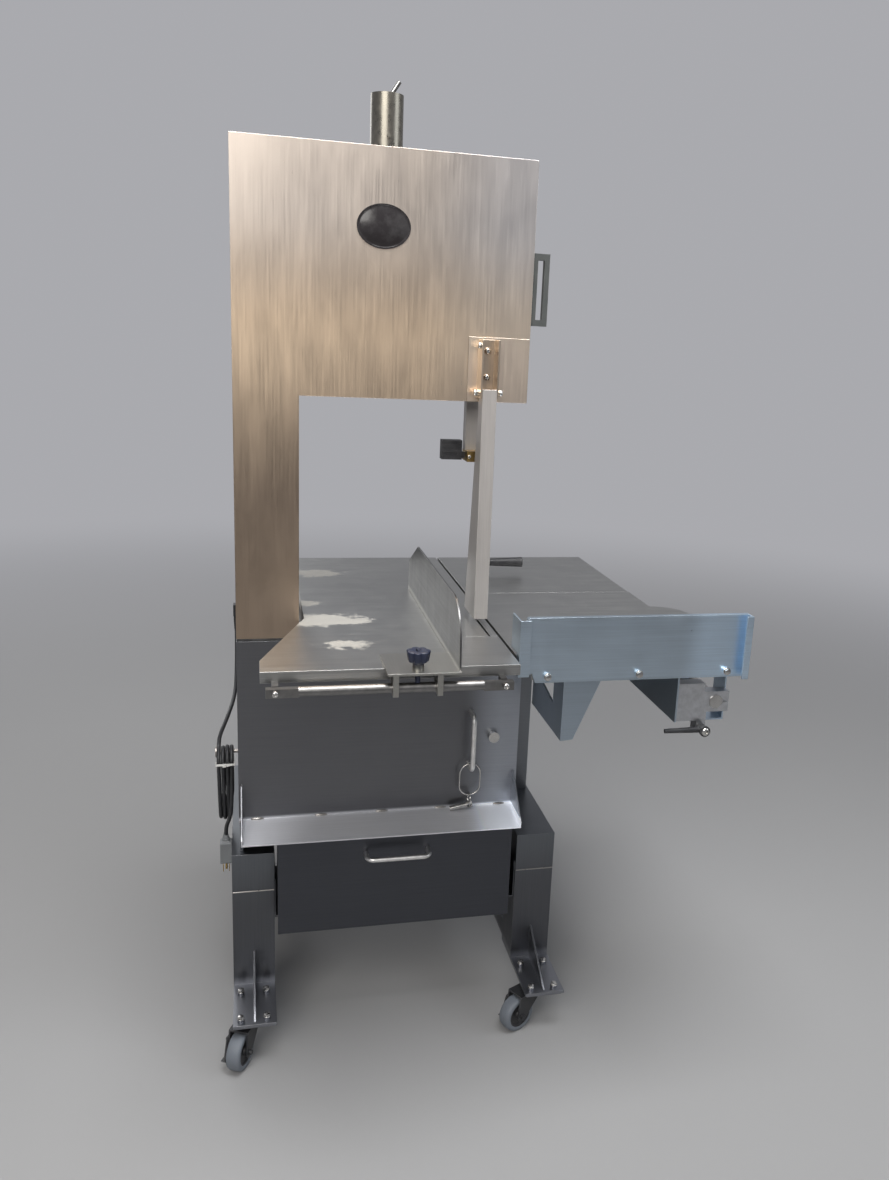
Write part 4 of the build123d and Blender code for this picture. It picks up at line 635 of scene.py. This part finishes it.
def mains_plug():
    """The plug with its dished sides and ribbed neck."""
    low, high = spot(-42, 202, 318), spot(-18, 228, 364)
    middle = (low.z + high.z) / 2
    body = add_block(low, high)
    edit(body)
    pick_faces(body, lambda centre, normal: normal.z > 0.9)
    bpy.ops.mesh.inset(thickness=0.004)
    bpy.ops.mesh.extrude_region_move(TRANSFORM_OT_translate={"value": (0, 0, 0.005)})
    bpy.ops.transform.resize(value=(0.62, 0.62, 1.0))
    object_mode()
    bevel(body, 0.0035, 4)
    edit(body)
    pick_faces(body, lambda centre, normal: abs(normal.y) > 0.9 and abs(centre.z - middle) < 0.012)
    bpy.ops.mesh.inset(thickness=0.004, depth=-0.001)
    neck = turned(
        [(0.0, 0.0), (0.0082, 0.0), (0.0082, 0.003), (0.0066, 0.0042), (0.0066, 0.0068),
         (0.0058, 0.0080), (0.0058, 0.0110), (0.0050, 0.0122), (0.0046, 0.0160), (0.0, 0.0160)],
        spot(-30, 215, 367), UP,
    )
    plug = join([body, neck])
    smooth(plug)
    return keep(plug, "mains_plug", "machine", "plug_plastic", stands_for=("cord_plug",))


def plug_pins():
    """The plug's two flat blades and its round earth pin."""
    pins = [
        add_block(spot(-36.8, 206.5, 298), spot(-35.2, 212.5, 319)),
        add_block(spot(-24.8, 206.5, 298), spot(-23.2, 212.5, 319)),
        add_rod(spot(-30, 222, 296), spot(-30, 222, 319), 0.0024, 20),
    ]
    for pin in pins:
        bevel(pin, 0.0004)
    pins = join(pins)
    smooth(pins)
    return keep(pins, "plug_pins", "machine", "brass")


class BONESAW_OT_mains_lead(bpy.types.Operator):
    """Adds the mains lead with its hank, strain relief, tie and plug"""

    bl_idname = "bonesaw.mains_lead"
    bl_label = "Mains lead"

    def execute(self, context):
        object_mode()
        points = [spot(*place) for place in LEAD_RUN + hank_points() + LEAD_TAIL]
        data = bpy.data.curves.new("mains_lead", "CURVE")
        data.dimensions = "3D"
        data.bevel_depth = sizes().cord_diameter / 2
        data.bevel_resolution = 4
        data.resolution_u = 6
        data.use_fill_caps = True
        line = data.splines.new("NURBS")
        line.points.add(len(points) - 1)
        for point, place in zip(line.points, points):
            point.co = (*place, 1.0)
        line.order_u = 3
        line.use_endpoint_u = True
        lead = bpy.data.objects.new("mains_lead", data)
        context.scene.collection.objects.link(lead)
        data.materials.append(FINISHES["cord_sheath"])
        boot, tie, plug, pins = strain_relief(), cord_tie(), mains_plug(), plug_pins()
        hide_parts("power_cord", "cord_hank")
        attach(lead, "machine")
        return {"FINISHED"}


class BONESAW_OT_finishes(bpy.types.Operator):
    """Makes the finishes and gives one to every part of the machine"""

    bl_idname = "bonesaw.finishes"
    bl_label = "Finishes"

    def execute(self, context):
        shade = colours()
        FINISHES.update({
            # Door steel: warmer and brighter below about 1.4 m as painted reflection, darker below 1.1 m as
            # painted shade, lighter and bluer to the right as painted reflection.
            "stainless_warm": brushed_steel(
                "door_steel", tuple(shade.door_steel), 0.34, "upright", 0.035,
                (("Z", 1.60, 1.40, (1.17, 1.03, 0.84)), ("Z", 1.50, 1.36, (1.21, 1.22, 1.22)),
                 ("Z", 1.40, 1.10, (0.435, 0.435, 0.465)), ("X", -0.12, 0.08, (1.08, 1.17, 1.30))), 0.10,
            ),
            "stainless": brushed_steel("fitting_steel", tuple(shade.bright_steel), 0.30, "upright", 0.10),
            # Lower door: dark as painted shade, lighter to the right as painted reflection, much brighter
            # below 0.517 m as painted light.
            "case_steel_painted_shade": brushed_steel(
                "case_steel_painted_shade", tuple(shade.case_steel_painted_shade), 0.36, "across", 0.07,
                (("X", 0.0, 0.085, (2.3, 2.4, 2.5)), ("Z", 0.524, 0.517, (4.0, 4.0, 4.0))), 0.6,
                ("Z", 0.524, 0.517),
            ),
            # Housing: the same dark colour as painted shade, lighter to the right as painted reflection.
            "housing_steel": brushed_steel(
                "housing_steel", tuple(shade.case_steel_painted_shade), 0.36, "across", 0.07,
                (("X", 0.0, 0.11, (1.15, 1.2, 1.22)),), 0.6,
            ),
            "guard_steel": brushed_steel(
                "guard_steel", (0.55, 0.52, 0.495), 0.34, "upright", 0.10, scrubbed=("Z", 0.0, 0.5)
            ),
            # Body: darker below 1.1 m as painted shade, its door-side face lighter and warmer as painted
            # light.
            "body_steel": brushed_steel(
                "body_steel", (0.60, 0.56, 0.515), 0.34, "upright", 0.04,
                (("Z", 1.40, 1.10, (0.62, 0.62, 0.63)), ("Y", -0.160, -0.166, (1.72, 1.55, 1.36))), 0.10,
            ),
            "bracket_steel": brushed_steel("bracket_steel", (0.69, 0.57, 0.445), 0.32, "upright", 0.10),
            # Drawer: dark as painted shade.
            "drawer_steel_painted_shade": brushed_steel("drawer_steel_painted_shade", tuple(shade.drawer_steel_painted_shade), 0.36, "across", 0.08),
            # Gauge plate: about two and a half times brighter below 0.904 m as painted light.
            "gauge_steel": brushed_steel(
                "gauge_steel", (0.16, 0.16, 0.158), 0.34, "inward", 0.10,
                (("Z", 0.910, 0.904, (2.5, 2.45, 2.3)),),
            ),
            "tube_steel": bright_metal("tube_steel", (0.265, 0.248, 0.212), 0.30),
            "handle_steel": bright_metal("handle_steel", (0.86, 0.85, 0.83), 0.40),
            # Legs and foot plates: dark as painted shade, brighter below 0.108 m and above 0.4 m as painted
            # light, with strong brighter edges that are partly painted highlight.
            "leg_steel_painted_shade": brushed_steel(
                "leg_steel_painted_shade", tuple(shade.leg_steel_painted_shade), 0.36, "upright", 0.10,
                (("Z", 0.125, 0.108, (2.4, 2.4, 2.4)), ("Z", 0.27, 0.40, (1.35, 1.4, 1.4))), 0.9,
            ),
            # Apron, wing and arm: bluish as painted cool light, lighter to the right as painted reflection,
            # darker below 0.842 m as painted shade.
            "steel_painted_cool_light": brushed_steel(
                "steel_painted_cool_light", tuple(shade.steel_painted_cool_light), 0.34, "across", 0.08,
                (("X", 0.33, 0.385, (1.3, 1.34, 1.38)), ("Z", 0.856, 0.842, (0.78, 0.77, 0.77))),
            ),
            "rail_steel": bright_metal("rail_steel", (0.24, 0.235, 0.23), 0.34),
            "dark_pull": painted("dark_pull", (0.075, 0.08, 0.078), 0.35),
            "gloss_black": moulded("gloss_black", (0.024, 0.021, 0.022), 0.16, 0.03),
            "weld_metal": bright_metal("weld_metal", (0.42, 0.40, 0.38), 0.36, 0.12),
            "table_steel": worn_table("table_steel", tuple(shade.table_steel), 0.36),
            "polished_steel": bright_metal("polished_steel", (0.56, 0.55, 0.53), 0.20),
            "spring_steel": bright_metal("spring_steel", (0.35, 0.35, 0.36), 0.30),
            "blade_steel": bright_metal("blade_steel", (0.45, 0.45, 0.46), 0.26),
            "aluminium": bright_metal("cast_aluminium", (0.60, 0.61, 0.63), 0.34),
            "cast_metal": bright_metal("cast_iron", (0.26, 0.265, 0.27), 0.48, 0.1),
            "motor_grey": painted("motor_paint", (0.14, 0.17, 0.19), 0.45),
            "brass": bright_metal("brass", tuple(shade.brass), 0.30),
            "black_plastic": moulded("black_plastic", tuple(shade.grip), 0.42),
            "slate_plastic": moulded("slate_plastic", tuple(shade.knob), 0.40),
            "box_plastic": moulded("box_plastic", (0.36, 0.37, 0.38), 0.45),
            "white_plastic": moulded("white_plastic", (0.78, 0.78, 0.76), 0.45, 0.05),
            "red_plastic": moulded("red_plastic", (0.50, 0.02, 0.015), 0.30, 0.05),
            "green_plastic": moulded("green_plastic", (0.012, 0.22, 0.06), 0.30, 0.05),
            "black_metal": painted("black_metal", (0.020, 0.021, 0.024), 0.38),
            "caster_rubber": rubber("castor_rubber", tuple(shade.tread), 0.52),
            "belt_rubber": rubber("belt_rubber", (0.018, 0.018, 0.018), 0.62),
            "cord_rubber": rubber("cord_rubber", tuple(shade.flex), 0.46, 0.3),
            "cord_sheath": rubber("cord_sheath", tuple(shade.flex), 0.42, 0.25),
            "plug_plastic": moulded("plug_plastic", (0.20, 0.21, 0.22), 0.42),
        })
        special = {
            "lower_door": "case_steel_painted_shade", "motor_housing": "housing_steel", "base_frame": "leg_steel_painted_shade",
            "drawer": "drawer_steel_painted_shade", "caster_plates": "leg_steel_painted_shade", "apron": "steel_painted_cool_light",
            "wing_bracket": "steel_painted_cool_light", "side_beam": "steel_painted_cool_light", "carriage_arm": "steel_painted_cool_light",
            "gauge_plate": "gauge_steel", "gauge_rail": "rail_steel", "tension_tube": "tube_steel",
            "upper_door_handle": "dark_pull", "clamp_lever": "black_metal", "blade_guard": "guard_steel",
            "guide_bar": "guard_steel", "guard_bracket": "bracket_steel", "body_frame": "body_steel",
        }
        for name, part in NODES.items():
            finish = FINISHES[special.get(name, SLOT_OF[name])]
            if not part.data.materials:
                part.data.materials.append(finish)
            for place in part.material_slots:
                place.material = finish
        return {"FINISHED"}


FLOOR_RADIUS = 14.0
# where the floor starts to fade into the surroundings, and where it has gone, in metres from the machine
FADE_START, FADE_END = 1.4, 6.0
# how much of the surroundings' light reaches dull surfaces, so that the lamps model the shapes
ROOM_SHARE = 0.25
# each lamp's name, place, aim, width, height, power and colour
LAMPS = (
    ("front_softbox", (-1.7, -3.4, 3.3), (-0.2, -0.1, 1.6), 2.6, 2.2, 105.0, (1.0, 0.97, 0.92)),
    ("side_softbox", (3.4, -1.6, 2.8), (0.1, 0.0, 1.0), 2.0, 2.0, 30.0, (0.92, 0.96, 1.0)),
    ("overhead_softbox", (0.0, -1.1, 3.7), (0.0, -0.3, 0.9), 1.6, 1.6, 100.0, (1.0, 1.0, 1.0)),
    ("back_softbox", (-1.5, 3.6, 2.6), (0.0, 0.1, 0.9), 2.2, 2.2, 30.0, (1.0, 1.0, 1.0)),
)


def add_floor():
    """The floor, which runs out into the surroundings without a horizon."""
    object_mode()
    bpy.ops.mesh.primitive_circle_add(vertices=96, radius=FLOOR_RADIUS, fill_type="NGON", location=(0, 0, 0))
    floor = bpy.context.active_object
    floor.name = "floor"
    finish, tree, shader = new_finish("floor_paint")
    tone = tuple(colours().floor)
    pale = tuple(min(1.0, part * 1.04) for part in tone)
    feed(shader["Base Color"], blend_colours(tree, noise(tree, 1.2, 3.0, 0.5), tone, pale))
    feed(shader["Roughness"], 0.75)
    feed(shader["Specular IOR Level"], 0.2)
    length = add_node(tree, "ShaderNodeVectorMath", {0: object_place(tree)}, operation="LENGTH")
    far = remap(tree, length.outputs["Value"], FADE_START, FADE_END, 0.0, 1.0, "SMOOTHSTEP")
    seen = calculate(tree, "MULTIPLY", far, add_node(tree, "ShaderNodeLightPath").outputs["Is Camera Ray"])
    paint = tree.nodes["Principled BSDF"].outputs[0]
    distance = add_node(tree, "ShaderNodeEmission", {"Color": colours().backdrop}).outputs[0]
    mixed = add_node(tree, "ShaderNodeMixShader", {"Fac": seen, 1: paint, 2: distance})
    feed(tree.nodes["Material Output"].inputs["Surface"], mixed.outputs[0])
    floor.data.materials.append(finish)


def add_surroundings():
    """A flat backdrop for the camera, and a room that grows paler upwards for everything else."""
    world = bpy.data.worlds.new("surroundings")
    bpy.context.scene.world = world
    world.use_nodes = True
    tree = world.node_tree
    tree.nodes.clear()
    way = add_node(tree, "ShaderNodeTexCoord").outputs["Generated"]
    height = add_node(tree, "ShaderNodeSeparateXYZ", {0: way}).outputs["Z"]
    ramp = add_node(tree, "ShaderNodeValToRGB", {"Fac": height})
    foot, crown = ramp.color_ramp.elements
    foot.position = 0.0
    foot.color = (0.30, 0.30, 0.32, 1)
    crown.position = 0.9
    crown.color = (0.58, 0.58, 0.60, 1)
    ramp.color_ramp.elements.new(0.35).color = (0.31, 0.315, 0.335, 1)
    path = add_node(tree, "ShaderNodeLightPath").outputs
    dim = remap(tree, path["Is Diffuse Ray"], 0.0, 1.0, 1.0, ROOM_SHARE)
    room = add_node(tree, "ShaderNodeBackground", {"Color": ramp.outputs["Color"], "Strength": dim})
    seen = add_node(tree, "ShaderNodeBackground", {"Color": colours().backdrop})
    mixed = add_node(tree, "ShaderNodeMixShader", {
        "Fac": path["Is Camera Ray"], 1: room.outputs[0], 2: seen.outputs[0],
    })
    add_node(tree, "ShaderNodeOutputWorld", {"Surface": mixed.outputs[0]})


class BONESAW_OT_stage(bpy.types.Operator):
    """Adds the floor, the pale surroundings and the lamps"""

    bl_idname = "bonesaw.stage"
    bl_label = "Stage"

    def execute(self, context):
        add_floor()
        add_surroundings()
        for name, place, aim, wide, high, power, tint in LAMPS:
            bpy.ops.object.light_add(type="AREA", location=place)
            lamp = context.active_object
            lamp.name = name
            lamp.data.shape = "RECTANGLE"
            lamp.data.size = wide
            lamp.data.size_y = high
            lamp.data.energy = power
            lamp.data.color = tint
            lamp.rotation_euler = (Vector(aim) - Vector(place)).to_track_quat("-Z", "Y").to_euler()
        context.scene.view_settings.view_transform = "Standard"
        return {"FINISHED"}


class BONESAW_OT_door_plate(bpy.types.Operator):
    """Adds the blank oval plate on the upper door"""

    bl_idname = "bonesaw.door_plate"
    bl_label = "Door plate"

    def execute(self, context):
        object_mode()
        bpy.ops.mesh.primitive_cylinder_add(
            vertices=96, radius=1.0, depth=0.0022, location=spot(247, -1.1, 1576),
            rotation=(math.pi / 2, 0, 0),
        )
        plate = context.active_object
        plate.scale = (sizes().plate_width / 2, sizes().plate_height / 2, 1.0)
        bpy.ops.object.transform_apply(location=True, rotation=True, scale=True)
        edit(plate)
        pick_faces(plate, lambda middle, normal: normal.y < -0.9)
        bpy.ops.mesh.inset(thickness=0.0022)
        bpy.ops.mesh.inset(thickness=0.0006)
        bpy.ops.transform.translate(value=(0, 0.0006, 0))
        bpy.ops.mesh.inset(thickness=0.0030)
        bpy.ops.mesh.inset(thickness=0.0005)
        bpy.ops.transform.translate(value=(0, -0.0002, 0))
        object_mode()
        smooth(plate, 25)
        keep(plate, "blank_oval_plate", "wheel_door", "black_plastic", "gloss_black")
        return {"FINISHED"}


def wheel_place(node):
    """The matrix that lays a wheel made at the origin along a castor wheel's axle.

    The axle is the way in which the wheel is thinnest."""
    low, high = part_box(node)
    middle = (low + high) / 2
    shortest, axle = math.inf, Vector((1, 0, 0))
    for degrees in range(180):
        way = Vector((math.cos(math.radians(degrees)), math.sin(math.radians(degrees)), 0))
        reach = max(abs((vertex.co - middle).dot(way)) for vertex in NODES[node].data.vertices)
        if reach < shortest:
            shortest, axle = reach, way
    return Matrix.Translation(middle) @ Vector(UP).rotation_difference(axle).to_matrix().to_4x4()


class BONESAW_OT_castor_wheels(bpy.types.Operator):
    """Adds the four castor wheels, turned once and copied"""

    bl_idname = "bonesaw.castor_wheels"
    bl_label = "Castor wheels"

    def execute(self, context):
        tread = turned(
            [(0.0265, -0.0135), (0.0290, -0.0140), (0.0330, -0.0138), (0.0356, -0.0120), (0.0371, -0.0080),
             (0.0375, 0.0), (0.0371, 0.0080), (0.0356, 0.0120), (0.0330, 0.0138), (0.0290, 0.0140),
             (0.0265, 0.0135), (0.0258, 0.0), (0.0265, -0.0135)],
            ORIGIN, UP, 64,
        )
        hub = turned(
            [(0.0, -0.0135), (0.0078, -0.0135), (0.0082, -0.0128), (0.0092, -0.0100), (0.0170, -0.0088),
             (0.0225, -0.0094), (0.0240, -0.0118), (0.0268, -0.0122), (0.0268, 0.0122), (0.0240, 0.0118),
             (0.0225, 0.0094), (0.0170, 0.0088), (0.0092, 0.0100), (0.0082, 0.0128), (0.0078, 0.0135),
             (0.0, 0.0135)],
            ORIGIN, UP, 64,
        )
        for piece in (tread, hub):
            smooth(piece)
        for name in ("left_front", "right_front", "left_rear", "right_rear"):
            node = f"caster_wheel_{name}"
            place = wheel_place(node)
            tyre, core = copy_moved(tread, place), copy_moved(hub, place)
            keep(tyre, f"castor_tread_{name}", f"wheel_{name}", "caster_rubber", stands_for=(node,))
            keep(core, f"castor_hub_{name}", f"wheel_{name}", "black_plastic")
        for piece in (tread, hub):
            bpy.data.objects.remove(piece)
        return {"FINISHED"}


# how many lobes the star knob has, its radius between them and how far they stand out
KNOB_LOBES = 7
KNOB_WAIST, KNOB_LOBE = 0.0154, 0.0040


class BONESAW_OT_star_knob(bpy.types.Operator):
    """Adds the star knob that clamps the gauge plate"""

    bl_idname = "bonesaw.star_knob"
    bl_label = "Star knob"

    def execute(self, context):
        low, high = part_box("gauge_knob")
        middle = (low + high) / 2
        top = high.z
        object_mode()
        bpy.ops.mesh.primitive_cylinder_add(
            vertices=KNOB_LOBES * 8, radius=KNOB_WAIST + KNOB_LOBE, depth=0.017,
            location=(middle.x, middle.y, top - 0.0105),
        )
        knob = context.active_object
        bpy.ops.object.transform_apply(location=True, rotation=True, scale=True)
        edit(knob, "VERT")
        mesh = bmesh.from_edit_mesh(knob.data)
        for vertex in mesh.verts:
            out = vertex.co - Vector((middle.x, middle.y, vertex.co.z))
            angle = math.atan2(out.y, out.x)
            radius = KNOB_WAIST + KNOB_LOBE * abs(math.cos(angle * KNOB_LOBES / 2)) ** 0.75
            if vertex.co.z < top - 0.012:
                radius *= 0.86
            vertex.co.x = middle.x + math.cos(angle) * radius
            vertex.co.y = middle.y + math.sin(angle) * radius
        bmesh.update_edit_mesh(knob.data)
        bpy.ops.mesh.select_mode(type="FACE")
        pick_faces(knob, lambda centre, normal: normal.z > 0.9)
        bpy.ops.mesh.inset(thickness=0.0045)
        bpy.ops.transform.translate(value=(0, 0, 0.0012))
        bpy.ops.mesh.inset(thickness=0.0035)
        bpy.ops.transform.translate(value=(0, 0, -0.0008))
        object_mode()
        bevel(knob, 0.0016, 3, 30)
        collar = turned(
            [(0.0, -0.006), (0.0092, -0.006), (0.0096, -0.004), (0.0130, 0.0), (0.0, 0.0)],
            Vector((middle.x, middle.y, top - 0.0175)), UP,
        )
        stem = add_rod(Vector((middle.x, middle.y, low.z)), Vector((middle.x, middle.y, top - 0.029)), 0.004)
        knob = join([knob, collar, stem])
        smooth(knob, 40)
        keep(knob, "star_knob", "gauge_clamp", "slate_plastic", stands_for=("gauge_knob",))
        return {"FINISHED"}


# the blade's front edge, half its thickness, and the cutting run that shows, in metres
BLADE_EDGE = spot(431.7, 31.0, 0)
BLADE_HALF = 0.0004
TEETH_FOOT, TEETH_TOP = 0.872, 1.292


class BONESAW_OT_blade_teeth(bpy.types.Operator):
    """Adds the teeth along the cutting run of the blade"""

    bl_idname = "bonesaw.blade_teeth"
    bl_label = "Blade teeth"

    def execute(self, context):
        pitch, depth = sizes().tooth_pitch, sizes().tooth_depth
        tooth = add_block(
            Vector((BLADE_EDGE.x - BLADE_HALF, BLADE_EDGE.y - depth, TEETH_FOOT)),
            Vector((BLADE_EDGE.x + BLADE_HALF, BLADE_EDGE.y + 0.001, TEETH_FOOT + pitch)),
        )
        edit(tooth, "VERT")
        mesh = bmesh.from_edit_mesh(tooth.data)
        for vertex in mesh.verts:
            if vertex.co.y < BLADE_EDGE.y - depth / 2:
                vertex.co.z = TEETH_FOOT + pitch * 0.18
        bmesh.update_edit_mesh(tooth.data)
        bpy.ops.mesh.select_all(action="SELECT")
        bpy.ops.mesh.remove_doubles(threshold=MERGE_GAP)
        bpy.ops.mesh.normals_make_consistent(inside=False)
        object_mode()
        count = int((TEETH_TOP - TEETH_FOOT) / pitch)
        row = [tooth] + [copy_moved(tooth, Matrix.Translation((0, 0, pitch * n))) for n in range(1, count)]
        row = join(row)
        keep(row, "blade_teeth", "machine", "blade_steel")
        return {"FINISHED"}


class BONESAW_OT_handles(bpy.types.Operator):
    """Adds the bright bent bars over the handles of the lower door and the drawer"""

    bl_idname = "bonesaw.handles"
    bl_label = "Handles"

    def execute(self, context):
        pull = bent_pull(
            [spot(431, -0.5, 604.5), spot(431, -34, 604.5), spot(431, -34, 712.5), spot(431, -0.5, 712.5)],
            0.012, 0.0048,
        )
        keep(pull, "lower_door_pull", "drive_door", "polished_steel", "handle_steel")
        grip = bent_pull(
            [spot(239, 27.5, 416), spot(239, -4, 416), spot(361, -4, 416), spot(361, 27.5, 416)],
            0.014, 0.0048,
        )
        keep(grip, "drawer_pull", "drawer", "polished_steel", "handle_steel")
        return {"FINISHED"}


# the middles of the foot plates, in millimetres from the left side and the door face
FOOT_PLATES = ((24.5, 18), (24.5, 598), (604, 18), (604, 598))


class BONESAW_OT_bolt_heads(bpy.types.Operator):
    """Adds the bolt and screw heads"""

    bl_idname = "bonesaw.bolt_heads"
    bl_label = "Bolt heads"

    def execute(self, context):
        block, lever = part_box("guide_block")[0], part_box("clamp_lever")[0]
        groups = {
            "guard_bracket_bolts": ("machine", [
                button_head(spot(431.5, -8, 1338), FRONT, 0.0054),
                button_head(spot(431.5, -8, 1383), FRONT, 0.0054),
                hex_head(spot(411.4, -22, 1312), LEFT, 0.009),
                hex_head(spot(416.3, -22, 1392), LEFT, 0.009),
                hex_head(spot(451.6, -22, 1312), RIGHT, 0.009),
            ]),
            "guide_block_bolt": ("guide", [button_head(block + Vector((0.004, 0, 0.0095)), FRONT, 0.0036)]),
            "clamp_hub_cap": ("shaft_clamp", [
                button_head(Vector((spot(809, 0, 0).x, lever.y + 0.0008, 0.744)), FRONT, 0.0078)
            ]),
            "apron_bolts": ("carriage", [hex_head(spot(x, -237, 861), FRONT) for x in (506, 669, 832)]),
            "rail_screws": ("machine", [button_head(spot(x, -311, 874), FRONT, 0.0052) for x in (60, 416)]),
            "foot_plate_bolts": ("machine", [
                hex_head(spot(x + across, y + along, 111), UP, 0.0105)
                for x, y in FOOT_PLATES for across in (-26.5, 22.5) for along in (-42, 42)
            ]),
        }
        for name, (body, heads) in groups.items():
            keep(join(heads), name, body, "polished_steel")
        return {"FINISHED"}


# where the tray's weld beads are and where the welds on the legs start, in millimetres from the left side
TRAY_WELDS = (33, 150, 264, 378, 494)
LEG_WELDS = (-15.5, 564)
# half the length and half the thickness of a bead, as shares of the weld size
BEAD_LENGTH, BEAD_THICKNESS = 2.6, 0.55


def weld_bead(centre):
    """A short rippled weld bead along the tray."""
    object_mode()
    bpy.ops.mesh.primitive_uv_sphere_add(segments=20, ring_count=12, radius=1.0, location=(0, 0, 0))
    bead = bpy.context.active_object
    edit(bead, "VERT")
    size = sizes().weld_size
    mesh = bmesh.from_edit_mesh(bead.data)
    for vertex in mesh.verts:
        across = size * BEAD_THICKNESS * (1.0 + 0.10 * math.cos(vertex.co.x * 14.0))
        vertex.co = Vector((vertex.co.x * size * BEAD_LENGTH, vertex.co.y * across, vertex.co.z * across))
    bmesh.update_edit_mesh(bead.data)
    object_mode()
    bead.data.transform(Matrix.Translation(centre))
    smooth(bead, 60)
    return bead


class BONESAW_OT_seams(bpy.types.Operator):
    """Adds the black strip in the gap between the doors, the weld tacks of the tray and the welds of the legs
    """

    bl_idname = "bonesaw.seams"
    bl_label = "Seams"

    def execute(self, context):
        # A black rubber strip fills the gap between the doors.
        gap_strip = add_block(spot(1, -0.3, 862.1), spot(108, 9, 866.9))
        bevel(gap_strip, 0.0008)
        smooth(gap_strip)
        keep(gap_strip, "door_gap_strip", "machine", "belt_rubber")
        beads = [weld_bead(spot(x, -1.2, 518)) for x in TRAY_WELDS]
        keep(join(beads), "tray_welds", "drive_door", "stainless", "weld_metal")
        runs = [add_rod(spot(x, 91.9, 314), spot(x + 80, 91.9, 314), 0.0013, 12) for x in LEG_WELDS]
        for run in runs:
            smooth(run)
        keep(join(runs), "leg_welds", "machine", "stainless", "weld_metal")
        return {"FINISHED"}


class VIEW3D_PT_bone_saw(bpy.types.Panel):
    """Lists the pieces of the bone saw"""

    bl_label = "Bone Saw"
    bl_idname = "VIEW3D_PT_bone_saw"
    bl_space_type = "VIEW_3D"
    bl_region_type = "UI"
    bl_category = "Bone Saw"

    def draw(self, context):
        for group in (context.scene.bone_saw_colours, context.scene.bone_saw_sizes):
            for key in group.__annotations__:
                self.layout.prop(group, key)
        for operator in OPERATORS:
            self.layout.operator(operator.bl_idname)


OPERATORS = (
    BONESAW_OT_camera,
    BONESAW_OT_finishes,
    BONESAW_OT_mains_lead,
    BONESAW_OT_door_plate,
    BONESAW_OT_castor_wheels,
    BONESAW_OT_star_knob,
    BONESAW_OT_blade_teeth,
    BONESAW_OT_handles,
    BONESAW_OT_bolt_heads,
    BONESAW_OT_seams,
    BONESAW_OT_stage,
)
CLASSES = (BoneSawColours, BoneSawSizes, *OPERATORS, VIEW3D_PT_bone_saw)


def register():
    """Registers the classes and the scene's settings."""
    for made in CLASSES:
        bpy.utils.register_class(made)
    bpy.types.Scene.bone_saw_colours = bpy.props.PointerProperty(type=BoneSawColours)
    bpy.types.Scene.bone_saw_sizes = bpy.props.PointerProperty(type=BoneSawSizes)


def unregister():
    """Takes the classes and the settings away again."""
    del bpy.types.Scene.bone_saw_sizes
    del bpy.types.Scene.bone_saw_colours
    for made in reversed(CLASSES):
        bpy.utils.unregister_class(made)


def main():
    """Runs every operator in order."""
    register()
    for operator in OPERATORS:
        group, call = operator.bl_idname.split(".")
        getattr(getattr(bpy.ops, group), call)()


if __name__ == "__main__":
    main()
